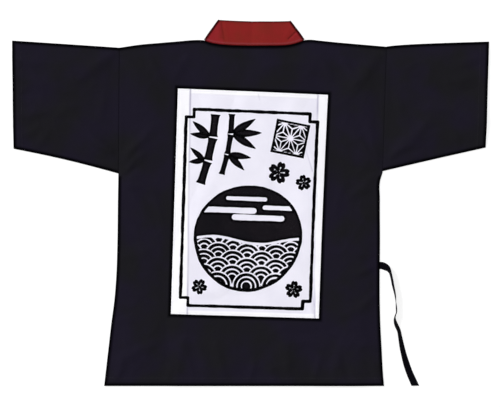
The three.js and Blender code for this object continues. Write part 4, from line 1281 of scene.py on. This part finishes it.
def make_collar():
    """The neckband: one strip from end to end, with its stitches near both edges."""
    sewn, free, facing, on_back = band_sections()
    long = np.linalg.norm(free - sewn, axis=1, keepdims=True)
    offsets = np.array([0.0, 0.12, 0.4, 0.9, 1.7, 2.4, 3.1, 3.8, 5.0, 6.6])
    first = np.tile(offsets, (len(long), 1))
    across = np.concatenate([first, 8.5 + (long - 17) * np.linspace(0, 1, 22), long - first[:, ::-1]], 1)
    middle = sewn[:, None] + (free - sewn)[:, None] * (across / long)[..., None]
    x, y = middle[..., 0], middle[..., 1]
    edge = np.minimum(across, long - across)
    half = BAND / 2 * np.sqrt(1 - (1 - np.minimum(edge / (BAND / 2), 1)) ** 2)
    relief = band_relief(x, y, across, long, on_back, facing[:, 2:]) * half / (BAND / 2)
    outer = middle + facing[:, None] * (half + relief)[..., None]
    inner = middle - facing[:, None] * half[..., None]
    rings = np.concatenate([outer, inner[:, -2:0:-1]], 1)
    # The lower ends are finished square, with a little rounding.
    ends = []
    for ring in (rings[0], rings[-1]):
        centre = ring.mean(0)
        ends.append(centre + (ring - centre) * (0.985, 1, 0.55) - (0, 0.5, 0))
    points, faces = loft_rings(np.concatenate([[ends[0]], rings, [ends[1]]]))
    collar = add_mesh("neckband_cloth", points, faces, RED_CLOTH)
    # Painted light, painted shade and a painted highlight, shown on the part behind the neck only.
    for name, tone in zip(("painted_facet_light", "painted_band_shade", "pale"), band_tones(x, y, across, long, facing[:, 2:])):
        shown = np.broadcast_to(tone, x.shape) * on_back
        around = np.concatenate([shown, np.zeros((len(x), x.shape[1] - 2))], 1)
        set_attribute(collar, name, np.concatenate([around[:1], around, around[-1:]]))
    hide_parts("collar")
    rows = [(outer[:, column], facing) for column in (6, -len(offsets) + 4)]
    return collar, sew("neckband_sewing", rows, RED_THREAD, radius=0.24, sink=0.55)


# ---------------------------------------------------------------- ties
def make_tie(name, node, table, floor, count, levelled=0.0):
    """A narrow tape along a table's rows, tipped on its edge where they say so, with its last part sheared
    so that the end is level with the hem."""
    rows = np.arange(len(table), dtype=float)
    share = np.linspace(0, len(table) - 1, count)
    path = np.stack([curve(np.stack([rows, column], -1), share) for column in table.T], -1)
    run = np.concatenate([[0], np.cumsum(np.hypot(*np.diff(path[:, :2], axis=0).T))])
    even = np.linspace(0, run[-1], count)
    path = np.stack([np.interp(even, run, column) for column in path.T], -1)
    ahead = np.gradient(path[:, :2], even, axis=0)
    ahead /= np.linalg.norm(ahead, axis=1, keepdims=True)
    tilt = np.radians(path[:, 2:])
    side = np.stack([-ahead[:, 1], ahead[:, 0]], -1)
    across = np.concatenate([side * np.cos(tilt), np.sin(tilt)], 1)
    up = np.concatenate([-side * np.sin(tilt), np.cos(tilt)], 1)
    to_end = run[-1] - even
    if levelled:
        slip = (smooth(to_end, 0, levelled) - 1) * np.cos(tilt[:, 0]) * ahead[:, 0] / ahead[:, 1]
        across[:, :2] += slip[:, None] * ahead
    middle = (TIE_WIDTH * np.abs(np.sin(tilt)) + TAPE * np.abs(np.cos(tilt))) / 2
    centre = np.concatenate([path[:, :2], floor(even / run[-1])[:, None] + middle], 1)
    half, thin = TIE_WIDTH / 2, TAPE / 2
    near = np.array([0.0, 0.12, 0.4, 1.2, 1.9, 2.8])
    spots = np.concatenate([near - half, (-3, 0, 3), half - near[::-1]])
    to_side = half - np.abs(spots)
    rounding = np.sqrt(1 - (1 - np.clip(to_side / thin, 0, 1)) ** 2)
    thick = thin * rounding * (1 - 0.35 * bell(to_side - near[4], 0.6))
    ends = np.sqrt(1 - (1 - np.clip(np.minimum(even, to_end) / 0.9, 0.02, 1)) ** 2)
    line = centre[:, None] + spots[:, None] * across[:, None]
    out = (ends[:, None] * thick)[..., None] * up[:, None]
    upper, lower = line + out, line - out
    points, faces = loft_rings(np.concatenate([lower, upper[:, -2:0:-1]], 1))
    tie = add_mesh(name, points, faces, TAPE_CLOTH)
    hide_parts(node)
    kept = np.minimum(even, to_end) > 1.5
    rows = [(face[kept, at], way * up[kept]) for at in (4, -5) for face, way in ((upper, 1), (lower, -1))]
    sewing = sew(f"{node}_sewing", rows, BLACK_THREAD, pitch=3.0, radius=0.2)
    return tie, sewing, float(run[-1])


# ---------------------------------------------------------------- the coat
back, back_sewing = make_back()
patch, patch_sewing = make_patch()
left_front, left_front_sewing = make_front("left_front_cloth", "left_front", -1)
right_front, right_front_sewing = make_front("right_front_cloth", "right_front", 1)
left_sleeve = make_sleeve("left_sleeve_cloth", "left_sleeve", LEFT_SLEEVE, 80)
right_sleeve = make_sleeve("right_sleeve_cloth", "right_sleeve", RIGHT_SLEEVE, 90)
collar, collar_sewing = make_collar()
side_tie, side_tie_sewing, side_tie_length = make_tie(
    "side_tie_cloth", "side_tie", SIDE_TIE, lambda share: 0.9 * (1 - smooth(share, 0, 0.12)), 220, LEVEL_END
)
front_tie, front_tie_sewing, front_tie_length = make_tie(
    "front_tie_cloth", "front_tie", FRONT_TIE, lambda share: CLOTH + SEAM + 0 * share, 160
)


# ---------------------------------------------------------------- floor, light and camera
def make_floor():
    """A pale floor just under the stitches, which gives off part of its own light, so shadows stay faint."""
    far, low = 9.0, -0.0006
    mesh = bpy.data.meshes.new("floor")
    corners = [(-far, -far, low), (far, -far, low), (far, far, low), (-far, far, low)]
    mesh.from_pydata(corners, [], [(0, 1, 2, 3)])
    floor = bpy.data.objects.new("floor", mesh)
    bpy.context.scene.collection.objects.link(floor)
    material, _, shader = material_nodes("floor")
    set_inputs(shader, {
        "Base Color": (0.35, 0.35, 0.35, 1),
        "Emission Color": (1, 1, 1, 1),
        "Emission Strength": 0.725,
        "Roughness": 0.9,
        "Specular IOR Level": 0.05,
    })
    mesh.materials.append(material)


def add_light(name, way, spread, strength):
    """Even light from a soft source far off in a direction, spread in degrees."""
    data = bpy.data.lights.new(name, "SUN")
    data.angle = math.radians(spread)
    data.energy = strength
    light = bpy.data.objects.new(name, data)
    light.location = way
    light.rotation_euler = Vector(way).to_track_quat("Z", "Y").to_euler()
    bpy.context.scene.collection.objects.link(light)


def make_camera():
    """Straight above the picture's middle, with the hem towards its lower edge."""
    high = 3.2
    middle = (-0.0013, -0.0015)
    picture_width = 500 * 0.0022
    data = bpy.data.cameras.new("camera")
    data.sensor_width = 36
    data.lens = data.sensor_width * high / picture_width
    data.clip_end = 40
    camera = bpy.data.objects.new("camera", data)
    camera.location = (*middle, high)
    bpy.context.scene.collection.objects.link(camera)
    bpy.context.scene.camera = camera


make_floor()
add_light("key", (-2.6, 2.0, 2.25), 14, 2.8)
add_light("fill", (2.1, -0.6, 2.5), 40, 0.27)
add_light("top", (0.2, -1.3, 2.8), 40, 0.33)
world = bpy.data.worlds.new("studio")
world.use_nodes = True
world.node_tree.nodes["Background"].inputs["Color"].default_value = (1, 1, 1, 1)
world.node_tree.nodes["Background"].inputs["Strength"].default_value = 0.5
bpy.context.scene.world = world
bpy.context.scene.view_settings.view_transform = "Standard"
make_camera()
